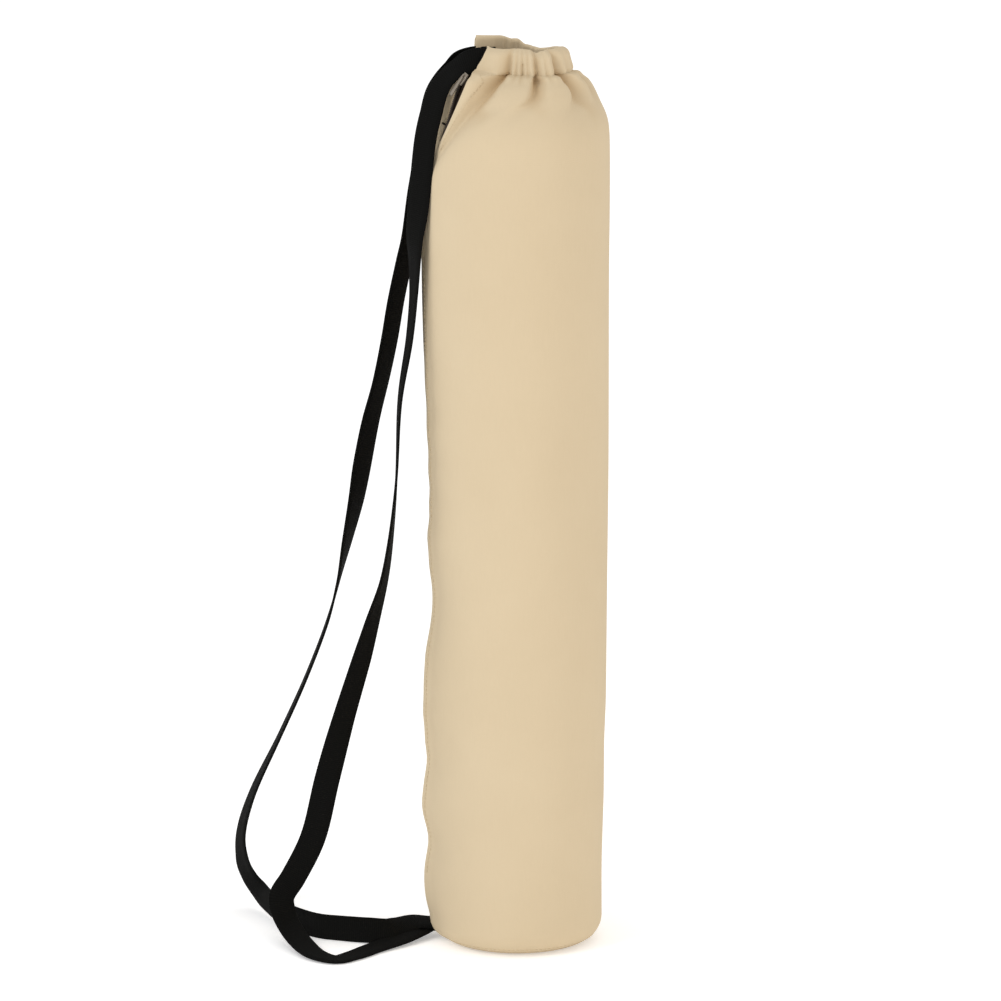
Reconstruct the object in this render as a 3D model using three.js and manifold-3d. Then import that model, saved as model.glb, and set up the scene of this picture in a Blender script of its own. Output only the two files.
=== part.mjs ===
// A canvas yoga mat bag, standing on its round base. The strap is also the drawstring of the gathered top.
// The z axis is the bag's axis, the floor is z = 0, and the zip side is -x. Lengths are in millimetres.
import * as THREE from 'three';
import { mergeVertices } from 'three/addons/utils/BufferGeometryUtils.js';
import Module from 'manifold-3d';

const wasm = await Module();
wasm.setup();

// Canvas body
const bodyRadius = 70;
const shoulderHeight = 650;
const clothThickness = 1.5;
const baseEdgeRadius = 19;
const seamAllowance = 5;

// Gathered neck, an egg with its narrow end on the zip side, in shares of the body
const gatherRise = 44;
const neckWidthShare = 0.534;
const neckDepthShare = 0.5;
const neckShiftShare = 0.06;
const neckTaper = 0.2;
const foldDepth = 11;
const rimNotch = 0.8;

// Casing that the strap runs through
const casingDrop = 6;
const casingFold = 5;
const casingLean = 3.6;
const channelEase = 0.6;
const mouthRuffle = 2;

// Where the casing is open: its sill below the neck, and its edges as shares of the neck's half sizes
const ventSill = 4;
const ventFrontLow = 0.888;
const ventFrontHigh = 0.54;
const ventBackShare = 0.333;

// Webbing strap
const strapWidth = 20;
const strapThickness = 2;

// Zip
const tapeWidth = 20;
const tapeThickness = 0.8;
const coilWidth = 4.4;
const coilProud = 1;
const sliderWidth = 8.5;
const sliderLength = 10;
const sliderThickness = 2.6;
const pullWidth = 5;
const pullLength = 17;
const pullThickness = 1.4;
const sliderRowShare = 0.78;

const slotEase = 0.7;
const slotOvercut = 1.5;
const tapeEase = 0.8;
const clearance = 0.3;
const columns = 62;
const slopeAngle = 2.3;

const neckHalfWidth = bodyRadius * neckWidthShare;
const neckHalfDepth = bodyRadius * neckDepthShare;
const neckShift = bodyRadius * neckShiftShare;
const stitchHeight = shoulderHeight + gatherRise - casingDrop;
const casingHeight = strapWidth + 2 * channelEase + 2 * clothThickness;

// Rounded lower edge: its radius as a share of the body, and the turns of its rows from the seam up
const baseShare = 0.947;
const seamTurn = 57.5;
const edgeTurns = [seamTurn, 38, 19, 0];

// Tube of the bag from the base up: height as a share of the tube, radius on the zip side and elsewhere
// as a share of bodyRadius. The zip side puckers where the tape holds the canvas.
const tubeRows = [
  { height: 0.079, zipSide: 1.013, plainSide: 0.947 },
  { height: 0.131, zipSide: 0.969, plainSide: 0.957 },
  { height: 0.184, zipSide: 1.036, plainSide: 0.969 },
  { height: 0.236, zipSide: 0.98, plainSide: 0.971 },
  { height: 0.302, zipSide: 1.013, plainSide: 0.989 },
  { height: 0.368, zipSide: 0.991, plainSide: 0.991 },
  { height: 0.445, zipSide: 0.903, plainSide: 0.991 },
  { height: 0.524, zipSide: 0.957, plainSide: 0.994 },
  { height: 0.576, zipSide: 0.936, plainSide: 0.997 },
  { height: 0.693, zipSide: 0.969, plainSide: 1.001 },
  { height: 0.821, zipSide: 1.011, plainSide: 1.006 },
  { height: 0.92, zipSide: 1.024, plainSide: 1.019 },
  { height: 1, zipSide: 1, plainSide: 1.019 },
];

// Shoulder: how far the round body has closed to the neck, the height on each side as a share of
// gatherRise above shoulderHeight, the depth of the folds as a share of foldDepth, and how far the zip
// has turned from the side to the front.
const shoulderRows = [
  { gather: 0.14, zipSide: -0.77, plainSide: 0.27, fold: 0.2, zipTurned: 0.05 },
  { gather: 0.27, zipSide: 0, plainSide: 0.455, fold: 0.45, zipTurned: 0.5 },
  { gather: 0.43, zipSide: 0.62, plainSide: 0.64, fold: 0.75, zipTurned: 0.62 },
  { gather: 0.55, zipSide: 0.89, plainSide: 0.75, fold: 0.9, zipTurned: 0.68 },
  { gather: 0.68, zipSide: 0.94, plainSide: 0.82, fold: 1, zipTurned: 0.68 },
  { gather: 0.82, zipSide: 0.97, plainSide: 0.91, fold: 1, zipTurned: 0.68 },
];
const tubeTopDrop = 0.93;

// The neck sits lower at the back, on the side away from the zip.
const neckSag = 8;
const neckSagTurn = 60;
const neckSagAngle = 90;

// Outer face of the casing: height as a share of the casing, inward lean as a share of casingLean,
// and fold depth as a share of casingFold.
const casingRows = [
  { rise: 0.26, lean: 0, fold: 1 },
  { rise: 0.56, lean: 0.7, fold: 0.8 },
  { rise: 0.9, lean: 1.5, fold: 0.4 },
];

// Inner layer of the casing, from the rim down: height as a share of strapWidth above the strap's lower
// edge, and ruffle as a share of mouthRuffle.
const mouthRows = [
  { rise: 1.04, ruffle: 0.7 },
  { rise: 0.5, ruffle: 1 },
  { rise: -0.12, ruffle: 0.6 },
];

// Folds that run from the shoulder up to the casing: place in degrees round the bag, from +x by +y,
// half width in degrees at each end, and depth as a share of foldDepth.
const folds = [
  { shoulderTurn: 234, neckTurn: 254, shoulderAngle: 22, neckAngle: 16, depth: 1 },
  { shoulderTurn: 281, neckTurn: 289, shoulderAngle: 19, neckAngle: 13, depth: 1.1 },
  { shoulderTurn: 329, neckTurn: 316, shoulderAngle: 18, neckAngle: 13, depth: 0.9 },
  { shoulderTurn: 354, neckTurn: 349, shoulderAngle: 18, neckAngle: 14, depth: 0.6 },
  { shoulderTurn: 22, neckTurn: 28, shoulderAngle: 18, neckAngle: 13, depth: 0.8 },
  { shoulderTurn: 52, neckTurn: 58, shoulderAngle: 17, neckAngle: 14, depth: 0.7 },
  { shoulderTurn: 84, neckTurn: 88, shoulderAngle: 20, neckAngle: 14, depth: 0.9 },
  { shoulderTurn: 116, neckTurn: 116, shoulderAngle: 17, neckAngle: 13, depth: 0.7 },
  { shoulderTurn: 146, neckTurn: 143, shoulderAngle: 18, neckAngle: 14, depth: 0.8 },
];

// The zip lies in a shallow fold of its own, which moves to the front as it nears the neck.
const zipFold = { shoulderTurn: 184, neckTurn: 223, shoulderAngle: 22, neckAngle: 26, depth: 0.45 };
const puckerAngle = 55;
const zipBackAngle = 100;
const zipFrontAngle = 60;
const zipShoulderRows = 4;

// Strands of the strap outside the casing, from the casing down to the seam of the base. x and y are
// shares of bodyRadius. z is a share of shoulderHeight, and what it has above 1 is a share of gatherRise.
// turn and lift point along the strap's width.
const frontStrand = [
  { x: -0.343, y: -0.22, z: 2.148, turn: 150, lift: 75 },
  { x: -0.529, y: -0.214, z: 2.16, turn: 125, lift: 50 },
  { x: -0.7, y: -0.2, z: 2.09, turn: 115, lift: 28 },
  { x: -0.829, y: -0.186, z: 1.909, turn: 120, lift: 22 },
  { x: -0.932, y: -0.21, z: 1.647, turn: 138, lift: 12 },
  { x: -0.988, y: -0.243, z: 1.266, turn: 146, lift: 3 },
  { x: -1.045, y: -0.264, z: 0.985, turn: 146, lift: 0 },
  { x: -1.084, y: -0.279, z: 0.942, turn: 145, lift: 0 },
  { x: -1.104, y: -0.286, z: 0.9, turn: 142, lift: 0 },
  { x: -1.129, y: -0.257, z: 0.8646, turn: 130, lift: 0 },
  { x: -1.132, y: -0.236, z: 0.835, turn: 116, lift: 0 },
  { x: -1.146, y: -0.2, z: 0.79, turn: 106, lift: 0 },
  { x: -1.19, y: -0.186, z: 0.74, turn: 103, lift: 0 },
  { x: -1.296, y: -0.171, z: 0.6665, turn: 97, lift: 0 },
  { x: -1.34, y: -0.143, z: 0.568, turn: 90, lift: 0 },
  { x: -1.406, y: -0.121, z: 0.494, turn: 80, lift: 0 },
  { x: -1.479, y: -0.107, z: 0.4446, turn: 72, lift: 0 },
  { x: -1.606, y: -0.093, z: 0.395, turn: 55, lift: 0 },
  { x: -1.733, y: -0.079, z: 0.346, turn: 40, lift: 0 },
  { x: -1.937, y: -0.064, z: 0.272, turn: 28, lift: 0 },
  { x: -2.12, y: -0.064, z: 0.198, turn: 8, lift: 0 },
  { x: -2.286, y: -0.064, z: 0.124, turn: 0, lift: 0 },
  { x: -2.507, y: -0.064, z: 0.075, turn: 2, lift: 0 },
  { x: -2.636, y: -0.08, z: 0.0515, turn: 5, lift: -6 },
  { x: -2.619, y: -0.129, z: 0.0346, turn: 12, lift: -4 },
  { x: -2.541, y: -0.3, z: 0.0206, turn: 20, lift: 0 },
  { x: -2.409, y: -0.571, z: 0.0094, turn: 26, lift: 2 },
  { x: -2.231, y: -0.886, z: 0.0037, turn: 41, lift: 0 },
  { x: -2.02, y: -1.02, z: 0.0019, turn: 92, lift: 0 },
  { x: -1.833, y: -0.871, z: 0.0019, turn: 136, lift: 0 },
  { x: -1.611, y: -0.6, z: 0.0027, turn: 135, lift: 2 },
  { x: -1.3, y: -0.3, z: 0.006, turn: 130, lift: 6 },
  { x: -1.13, y: -0.1, z: 0.0093, turn: 118, lift: 10 },
];
const backStrand = [
  { x: -0.471, y: 0.107, z: 2.148, turn: 215, lift: 70 },
  { x: -0.629, y: 0.129, z: 2.114, turn: 235, lift: 42 },
  { x: -0.757, y: 0.143, z: 2, turn: 243, lift: 28 },
  { x: -0.871, y: 0.164, z: 1.818, turn: 237, lift: 18 },
  { x: -0.955, y: 0.179, z: 1.545, turn: 228, lift: 8 },
  { x: -1.012, y: 0.186, z: 1.114, turn: 227, lift: 0 },
  { x: -1.073, y: 0.186, z: 0.969, turn: 229, lift: 0 },
  { x: -1.1, y: 0.186, z: 0.938, turn: 229, lift: 0 },
  { x: -1.121, y: 0.186, z: 0.9077, turn: 229, lift: 0 },
  { x: -1.184, y: 0.193, z: 0.857, turn: 229, lift: 0 },
  { x: -1.243, y: 0.2, z: 0.8288, turn: 229, lift: 0 },
  { x: -1.34, y: 0.229, z: 0.779, turn: 229, lift: 0 },
  { x: -1.417, y: 0.271, z: 0.729, turn: 229, lift: 0 },
  { x: -1.511, y: 0.314, z: 0.679, turn: 230, lift: 0 },
  { x: -1.627, y: 0.357, z: 0.629, turn: 226, lift: 0 },
  { x: -1.716, y: 0.4, z: 0.579, turn: 224, lift: 0 },
  { x: -1.794, y: 0.443, z: 0.5288, turn: 232, lift: 0 },
  { x: -1.893, y: 0.486, z: 0.4788, turn: 247, lift: 0 },
  { x: -1.993, y: 0.529, z: 0.4288, turn: 264, lift: 0 },
  { x: -2.114, y: 0.586, z: 0.3783, turn: 270, lift: 0 },
  { x: -2.37, y: 0.671, z: 0.3028, turn: 271, lift: 0 },
  { x: -2.674, y: 0.771, z: 0.227, turn: 273, lift: 0 },
  { x: -2.99, y: 0.886, z: 0.1506, turn: 281, lift: 0 },
  { x: -3.117, y: 1, z: 0.0988, turn: 289, lift: 0 },
  { x: -3.106, y: 1.086, z: 0.0648, turn: 300, lift: 5 },
  { x: -3.039, y: 1.171, z: 0.0406, turn: 306, lift: 25 },
  { x: -2.94, y: 1.143, z: 0.0248, turn: 306, lift: 50 },
  { x: -2.807, y: 0.857, z: 0.0175, turn: 306, lift: 72 },
  { x: -2.651, y: 0.443, z: 0.0162, turn: 300, lift: 84 },
  { x: -2.463, y: 0.129, z: 0.0162, turn: 90, lift: 88 },
  { x: -2.209, y: -0.129, z: 0.0162, turn: 90, lift: 88 },
  { x: -1.966, y: -0.221, z: 0.0162, turn: 90, lift: 84 },
  { x: -1.686, y: -0.279, z: 0.0157, turn: 90, lift: 70 },
  { x: -1.434, y: -0.243, z: 0.0142, turn: 95, lift: 50 },
  { x: -1.3, y: -0.114, z: 0.0145, turn: 100, lift: 32 },
  { x: -1.15, y: 0.03, z: 0.0165, turn: 105, lift: 18 },
];

// Where both ends of the strap pass through the seam of the base, one on the other
const strapEntryTurn = 177;
const strapEntryHeight = 7.9;
const strapEntryTilt = 12;
const strapEndInset = 9;
const strapEndOutset = 12;

const radians = (degrees) => (degrees * Math.PI) / 180;

function nearness(degrees, centre, reach) {
  const away = Math.abs(((((degrees - centre) % 360) + 540) % 360) - 180) / reach;
  return away < 1 ? 0.5 + 0.5 * Math.cos(Math.PI * away) : 0;
}

// How much a place belongs to the zip side, which ends sooner towards the front
function zipSideShare(degrees) {
  const front = angleStep(zipFold.shoulderTurn, degrees) > 0;
  return nearness(degrees, zipFold.shoulderTurn, front ? zipFrontAngle : zipBackAngle);
}

function neckDrop(degrees) {
  return neckSag * nearness(degrees, neckSagTurn, neckSagAngle);
}

// Depth of all folds at one place, 0 to about 1
function foldWave(degrees, gather) {
  let depth = 0;
  for (const fold of [...folds, zipFold]) {
    const centre = fold.shoulderTurn + angleStep(fold.shoulderTurn, fold.neckTurn) * gather;
    const reach = fold.shoulderAngle + (fold.neckAngle - fold.shoulderAngle) * gather;
    depth = Math.max(depth, fold.depth * nearness(degrees, centre, reach));
  }
  return depth;
}

function angleStep(from, to) {
  return ((((to - from) % 360) + 540) % 360) - 180;
}

// A point of the neck's egg, moved inward by inset
function neckPlan(degrees, inset) {
  const angle = radians(degrees);
  const depth = (neckHalfDepth - inset) * (1 + neckTaper * Math.cos(angle));
  return new THREE.Vector2(neckShift + (neckHalfWidth - inset) * Math.cos(angle), depth * Math.sin(angle));
}

// Each row of the outer face is a function from degrees round the bag to a point.
function edgeRow(turn) {
  return (degrees) => {
    const radius = bodyRadius * baseShare - baseEdgeRadius * (1 - Math.cos(radians(turn)));
    const height = baseEdgeRadius * (1 - Math.sin(radians(turn)));
    return onCircle(degrees, radius, height);
  };
}

function onCircle(degrees, radius, height) {
  const angle = radians(degrees);
  return new THREE.Vector3(radius * Math.cos(angle), radius * Math.sin(angle), height);
}

function tubeRow({ height, zipSide, plainSide }) {
  return (degrees) => {
    const tubeTop = shoulderHeight - gatherRise * tubeTopDrop * zipSideShare(degrees);
    const share = plainSide + (zipSide - plainSide) * nearness(degrees, zipFold.shoulderTurn, puckerAngle);
    return onCircle(degrees, bodyRadius * share, tubeTop * height);
  };
}

function shoulderRow({ gather, zipSide, plainSide, fold }) {
  return (degrees) => {
    const rise = gatherRise * (plainSide + (zipSide - plainSide) * zipSideShare(degrees));
    const height = shoulderHeight + rise - neckDrop(degrees) * gather;
    const neck = neckPlan(degrees, 0);
    const body = onCircle(degrees, bodyRadius, height);
    const plan = new THREE.Vector2(body.x, body.y).lerp(neck, gather);
    const centre = new THREE.Vector2(neckShift * gather, 0);
    const out = plan.clone().sub(centre).normalize();
    plan.addScaledVector(out, -foldDepth * fold * foldWave(degrees, gather));
    return new THREE.Vector3(plan.x, plan.y, height);
  };
}

function casingRow({ rise, lean, fold }) {
  return (degrees) => {
    const wave = foldWave(degrees, 1);
    const plan = neckPlan(degrees, casingLean * lean + casingFold * fold * Math.min(wave, 1));
    return new THREE.Vector3(plan.x, plan.y, stitchHeight + casingHeight * rise - neckDrop(degrees));
  };
}

// The strap's path in the casing, at the strap's lower edge, middle or upper edge
const ringInset = casingFold + clothThickness + channelEase + strapThickness / 2 + clearance;
const ringBottom = stitchHeight + clothThickness + channelEase;
const layerInset = strapThickness / 2 + channelEase + clothThickness;

function ringPoint(degrees, share) {
  const plan = neckPlan(degrees, ringInset + casingLean * share);
  return new THREE.Vector3(plan.x, plan.y, ringBottom + strapWidth * share - neckDrop(degrees));
}

function rimRow(degrees) {
  const wave = foldWave(degrees, 1);
  const plan = neckPlan(degrees, ringInset + casingLean);
  const height = stitchHeight + casingHeight + rimNotch * (0.5 - wave) - neckDrop(degrees);
  return new THREE.Vector3(plan.x, plan.y, height);
}

function mouthRow({ rise, ruffle }) {
  return (degrees) => {
    const inset = ringInset + casingLean * rise + layerInset;
    const wave = Math.min(foldWave(degrees, 1), 1);
    const plan = neckPlan(degrees, inset + mouthRuffle * ruffle * wave);
    return new THREE.Vector3(plan.x, plan.y, ringBottom + strapWidth * rise - neckDrop(degrees));
  };
}

const outerRows = [
  ...edgeTurns.map(edgeRow),
  ...tubeRows.map(tubeRow),
  ...shoulderRows.map(shoulderRow),
  ...casingRows.map(casingRow),
];
const firstTubeRow = edgeTurns.length;
const lastTubeRow = firstTubeRow + tubeRows.length - 1;
const lastClothRow = lastTubeRow + shoulderRows.length;

// A point at a depth below the outer face, measured square to the cloth
function underFace(row, degrees, depth) {
  const point = outerRows[row](degrees);
  const round = outerRows[row](degrees + slopeAngle).sub(outerRows[row](degrees - slopeAngle));
  const above = outerRows[Math.min(row + 1, outerRows.length - 1)](degrees);
  const below = outerRows[Math.max(row - 1, 0)](degrees);
  const outward = round.cross(above.sub(below)).normalize();
  return point.addScaledVector(outward, -depth);
}

// A closed body through loops of points, either capped at its ends or closed on itself
function loft(loops, closesOnItself) {
  const count = loops[0].length;
  const index = [];
  const spans = closesOnItself ? loops.length : loops.length - 1;
  for (let span = 0; span < spans; span += 1) {
    const near = span * count;
    const far = ((span + 1) % loops.length) * count;
    for (let k = 0; k < count; k += 1) {
      const next = (k + 1) % count;
      index.push(near + k, near + next, far + next, near + k, far + next, far + k);
    }
  }
  if (!closesOnItself) {
    const end = (loops.length - 1) * count;
    for (let k = 1; k < count - 1; k += 1) {
      index.push(0, k + 1, k, end, end + k, end + k + 1);
    }
  }
  const geometry = new THREE.BufferGeometry();
  const positions = loops.flat().flatMap((point) => [point.x, point.y, point.z]);
  geometry.setAttribute('position', new THREE.Float32BufferAttribute(positions, 3));
  geometry.setIndex(index);
  return facingOut(geometry);
}

function facingOut(geometry) {
  const index = geometry.getIndex();
  const position = geometry.getAttribute('position');
  const corner = [new THREE.Vector3(), new THREE.Vector3(), new THREE.Vector3()];
  let volume = 0;
  for (let i = 0; i < index.count; i += 3) {
    corner.forEach((point, k) => point.fromBufferAttribute(position, index.getX(i + k)));
    volume += corner[0].dot(corner[1].clone().cross(corner[2]));
  }
  if (volume < 0) {
    for (let i = 0; i < index.count; i += 3) {
      const second = index.getX(i + 1);
      index.setX(i + 1, index.getX(i + 2));
      index.setX(i + 2, second);
    }
  }
  return geometry;
}

function toSolid(geometry) {
  geometry.deleteAttribute('normal');
  geometry.deleteAttribute('uv');
  const merged = mergeVertices(geometry, 1e-4);
  const vertProperties = new Float32Array(merged.getAttribute('position').array);
  const triVerts = new Uint32Array(merged.getIndex().array);
  return new wasm.Manifold(new wasm.Mesh({ numProp: 3, vertProperties, triVerts }));
}

function toGeometry(solid) {
  const mesh = solid.getMesh();
  const geometry = new THREE.BufferGeometry();
  geometry.setAttribute('position', new THREE.Float32BufferAttribute(mesh.vertProperties, 3));
  geometry.setIndex(new THREE.Uint32BufferAttribute(mesh.triVerts, 1));
  return geometry;
}

// Strap

function widthDirection({ turn, lift }) {
  const level = Math.cos(radians(lift));
  return new THREE.Vector3(
    level * Math.cos(radians(turn)),
    level * Math.sin(radians(turn)),
    Math.sin(radians(lift)),
  );
}

function strandHeight(share) {
  return shoulderHeight * Math.min(share, 1) + gatherRise * Math.max(share - 1, 0);
}

function strandKeys(rows) {
  return rows.map((row) => ({
    point: new THREE.Vector3(row.x * bodyRadius, row.y * bodyRadius, strandHeight(row.z)),
    across: widthDirection(row),
  }));
}

// Where a strand passes the seam of the base: level 0 is the lower strand, level 1 the upper one
const seamRadius = bodyRadius * baseShare - baseEdgeRadius * (1 - Math.cos(radians(seamTurn)));

function entryKeys(level) {
  const across = widthDirection({ turn: 90, lift: strapEntryTilt });
  const stack = new THREE.Vector3(0, -Math.sin(radians(strapEntryTilt)), Math.cos(radians(strapEntryTilt)));
  return [strapEndOutset, -strapEndInset].map((out) => {
    const point = onCircle(strapEntryTurn, seamRadius + out, strapEntryHeight);
    point.addScaledVector(stack, level * (strapThickness + clearance));
    return { point, across };
  });
}

const ringFromTurn = 236;
const ringToTurn = 518;
const ringKeyCount = 21;
const keysPastCasing = 2;
const stationsPerKey = 2;

function ringKeys() {
  const keys = [];
  for (let k = 0; k < ringKeyCount; k += 1) {
    const degrees = ringFromTurn + ((ringToTurn - ringFromTurn) * k) / (ringKeyCount - 1);
    const across = ringPoint(degrees, 1).sub(ringPoint(degrees, 0)).normalize();
    keys.push({ point: ringPoint(degrees, 0.5), across });
  }
  return keys;
}

const frontKeys = [...strandKeys(frontStrand), ...entryKeys(0)].reverse();
const backKeys = [...strandKeys(backStrand), ...entryKeys(1)];
const strapKeys = [...frontKeys, ...ringKeys(), ...backKeys];
const lastKey = strapKeys.length - 1;
const strapPath = new THREE.CatmullRomCurve3(strapKeys.map((key) => key.point));
const strapAcross = new THREE.CatmullRomCurve3(strapKeys.map((key) => key.across));

function strapLoop(share, width, thickness) {
  const point = strapPath.getPoint(share);
  const along = strapPath.getTangent(share);
  const across = strapAcross.getPoint(share);
  across.addScaledVector(along, -across.dot(along)).normalize();
  const out = along.clone().cross(across);
  const corners = [[-1, -1], [1, -1], [1, 1], [-1, 1]];
  return corners.map(([side, face]) => point.clone()
    .addScaledVector(across, (side * width) / 2)
    .addScaledVector(out, (face * thickness) / 2));
}

// Loops of the strap between two of its keys
function strapLoops(fromKey, toKey, width, thickness) {
  const loops = [];
  for (let k = fromKey * stationsPerKey; k <= toKey * stationsPerKey; k += 1) {
    loops.push(strapLoop(k / (lastKey * stationsPerKey), width, thickness));
  }
  return loops;
}

function makeStrap() {
  return loft(strapLoops(0, lastKey, strapWidth, strapThickness), false);
}

// Room for the strap in the casing, and for each of its ends at the seam
function makeStrapRoom(fromKey, toKey, room) {
  return toSolid(loft(strapLoops(fromKey, toKey, strapWidth + 2 * room, strapThickness + 2 * room), false));
}

// Zip

const zipFirstRow = firstTubeRow;
const zipLastRow = lastTubeRow + zipShoulderRows;

function zipTurn(row) {
  const shoulder = shoulderRows[row - lastTubeRow - 1];
  const turned = shoulder ? shoulder.zipTurned : 0;
  return zipFold.shoulderTurn + (zipFold.neckTurn - zipFold.shoulderTurn) * turned;
}

// A band that follows the zip, through places across it, between two depths below the canvas's face
function zipBand(places, outerDepth, innerDepth, fromRow, toRow) {
  const loops = [];
  for (let row = fromRow; row <= toRow; row += 1) {
    const middle = zipTurn(row);
    const radius = Math.hypot(outerRows[row](middle).x, outerRows[row](middle).y);
    const turns = places.map((place) => middle + ((place / radius) * 180) / Math.PI);
    const outer = turns.map((degrees) => underFace(row, degrees, outerDepth));
    const inner = turns.map((degrees) => underFace(row, degrees, innerDepth)).reverse();
    loops.push([...outer, ...inner]);
  }
  return loops;
}

const tapeDepth = clothThickness + tapeEase;

function makeZipTape() {
  const places = [-tapeWidth / 2, -coilWidth / 2, 0, coilWidth / 2, tapeWidth / 2];
  return loft(zipBand(places, tapeDepth, tapeDepth + tapeThickness, zipFirstRow, zipLastRow), false);
}

function makeZipCoil() {
  const places = [-coilWidth / 2, 0, coilWidth / 2];
  return loft(zipBand(places, -coilProud, tapeDepth - 3 * clearance, zipFirstRow, zipLastRow), false);
}

// The slot in the canvas that the teeth stand in, open at the vent
function makeZipRoom() {
  const half = coilWidth / 2 + slotEase;
  const past = slotOvercut * clothThickness;
  const loops = zipBand([-half, 0, half], -coilProud - past, tapeDepth + past, zipFirstRow, zipLastRow + 1);
  const below = new THREE.Vector3(0, 0, -slotEase);
  const start = loops[0].map((point) => point.clone().add(below));
  return toSolid(loft([start, ...loops], false));
}

// Canvas panel

const ventBottom = shoulderHeight + gatherRise - ventSill;
const neckTip = neckShift - neckHalfWidth - clearance;

// A cut through everything on the zip side of an outline in the xz plane, as far back as y = back
function cutAbove(outline, back) {
  const far = -2 * bodyRadius;
  const top = stitchHeight + 2 * casingHeight;
  const lastX = outline[outline.length - 1].x;
  const corners = [new THREE.Vector2(far, ventBottom), ...outline, new THREE.Vector2(lastX, top)];
  corners.push(new THREE.Vector2(far, top));
  const shape = new THREE.Shape(corners);
  const geometry = new THREE.ExtrudeGeometry(shape, { depth: bodyRadius + back, bevelEnabled: false });
  geometry.rotateX(Math.PI / 2);
  geometry.translate(0, back, 0);
  return toSolid(geometry);
}

// The casing is open between its front and back ends, above the zip.
function makeVentRoom() {
  const frontEdge = [
    new THREE.Vector2(neckShift - neckHalfWidth * ventFrontLow, ventBottom),
    new THREE.Vector2(neckShift - neckHalfWidth * ventFrontHigh, stitchHeight + casingHeight),
  ];
  const tipEdge = [new THREE.Vector2(neckTip, ventBottom)];
  return cutAbove(frontEdge, neckHalfDepth * ventBackShare).add(cutAbove(tipEdge, bodyRadius));
}

// A closed shell of canvas through rows that run all round the bag
function ringSolid(rows) {
  const loops = rows.map((row) => {
    const loop = [];
    for (let k = 0; k < columns; k += 1) {
      loop.push(row((360 * k) / columns));
    }
    return loop;
  });
  return toSolid(loft(loops, true));
}

// Inner face of the canvas between two rows, from the upper one down
function innerRows(upperRow, lowerRow) {
  const rows = [];
  for (let row = upperRow; row >= lowerRow; row -= 1) {
    rows.push((degrees) => underFace(row, degrees, clothThickness));
  }
  return rows;
}

function makeMainPanel() {
  const allowanceTop = baseEdgeRadius * (1 - Math.sin(radians(seamTurn))) + seamAllowance;
  const innerCorner = underFace(1, 0, clothThickness);
  const rows = [...outerRows.slice(0, lastTubeRow + 1), ...innerRows(lastTubeRow, 1)];
  rows.push((degrees) => onCircle(degrees, seamRadius + clothThickness, innerCorner.z - clothThickness));
  rows.push((degrees) => onCircle(degrees, seamRadius + clothThickness, allowanceTop));
  rows.push((degrees) => onCircle(degrees, seamRadius, allowanceTop));
  return ringSolid(rows)
    .subtract(makeZipRoom())
    .subtract(makeStrapRoom(0, 1, clearance))
    .subtract(makeStrapRoom(lastKey - 1, lastKey, clearance));
}

// The gathered top goes on from the tube in the same cloth, just clear of it.
function makeGatheredTop() {
  const raise = new THREE.Vector3(0, 0, clearance);
  const joinOuter = (degrees) => outerRows[lastTubeRow](degrees).add(raise);
  const joinInner = (degrees) => underFace(lastTubeRow, degrees, clothThickness).add(raise);
  const rows = [joinOuter, ...outerRows.slice(lastTubeRow + 1), rimRow, ...mouthRows.map(mouthRow)];
  rows.push(...innerRows(lastClothRow, lastTubeRow + 1), joinInner);
  const ringKey = frontKeys.length;
  const lastRingKey = ringKey + ringKeyCount - 1;
  return ringSolid(rows)
    .subtract(makeStrapRoom(ringKey - keysPastCasing, lastRingKey + keysPastCasing, channelEase))
    .subtract(makeVentRoom())
    .subtract(makeZipRoom());
}

function makeBasePanel() {
  const edge = seamRadius - clearance;
  const flatRadius = bodyRadius * baseShare - baseEdgeRadius;
  const profile = [new THREE.Vector2(0, 0), new THREE.Vector2(flatRadius, 0)];
  const edgeTurn = (Math.acos((edge - flatRadius) / baseEdgeRadius) * 180) / Math.PI;
  const middleTurn = (90 + edgeTurn) / 2;
  const roundPoint = (turn, radius) => new THREE.Vector2(
    flatRadius + radius * Math.cos(radians(turn)),
    baseEdgeRadius - radius * Math.sin(radians(turn)),
  );
  const seamHeight = roundPoint(edgeTurn, baseEdgeRadius).y;
  profile.push(roundPoint(middleTurn, baseEdgeRadius), roundPoint(edgeTurn, baseEdgeRadius));
  profile.push(new THREE.Vector2(edge, seamHeight + seamAllowance));
  profile.push(new THREE.Vector2(edge - clothThickness, seamHeight + seamAllowance));
  profile.push(new THREE.Vector2(edge - clothThickness, seamHeight + clothThickness));
  profile.push(roundPoint(middleTurn, baseEdgeRadius - clothThickness));
  profile.push(new THREE.Vector2(flatRadius, clothThickness), new THREE.Vector2(0, clothThickness));
  const geometry = new THREE.LatheGeometry(profile, columns);
  geometry.rotateX(Math.PI / 2);
  return toSolid(facingOut(geometry))
    .subtract(makeStrapRoom(0, 1, clearance))
    .subtract(makeStrapRoom(lastKey - 1, lastKey, clearance));
}

// The slider and its pull, drawn with y up the zip and z out from the canvas. Each outline is the right
// half from the bottom up: half widths and heights as shares of the piece's own.
const sliderOutline = [
  { wide: 0.7, up: -1 },
  { wide: 1, up: 0.2 },
  { wide: 0.8, up: 1 },
];
const lugOutline = [
  { wide: 0.35, up: -1 },
  { wide: 0.35, up: 0.6 },
];
const pullOutline = [
  { wide: 0.5, up: -1 },
  { wide: 1, up: -0.8 },
  { wide: 0.7, up: 1 },
];

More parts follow.
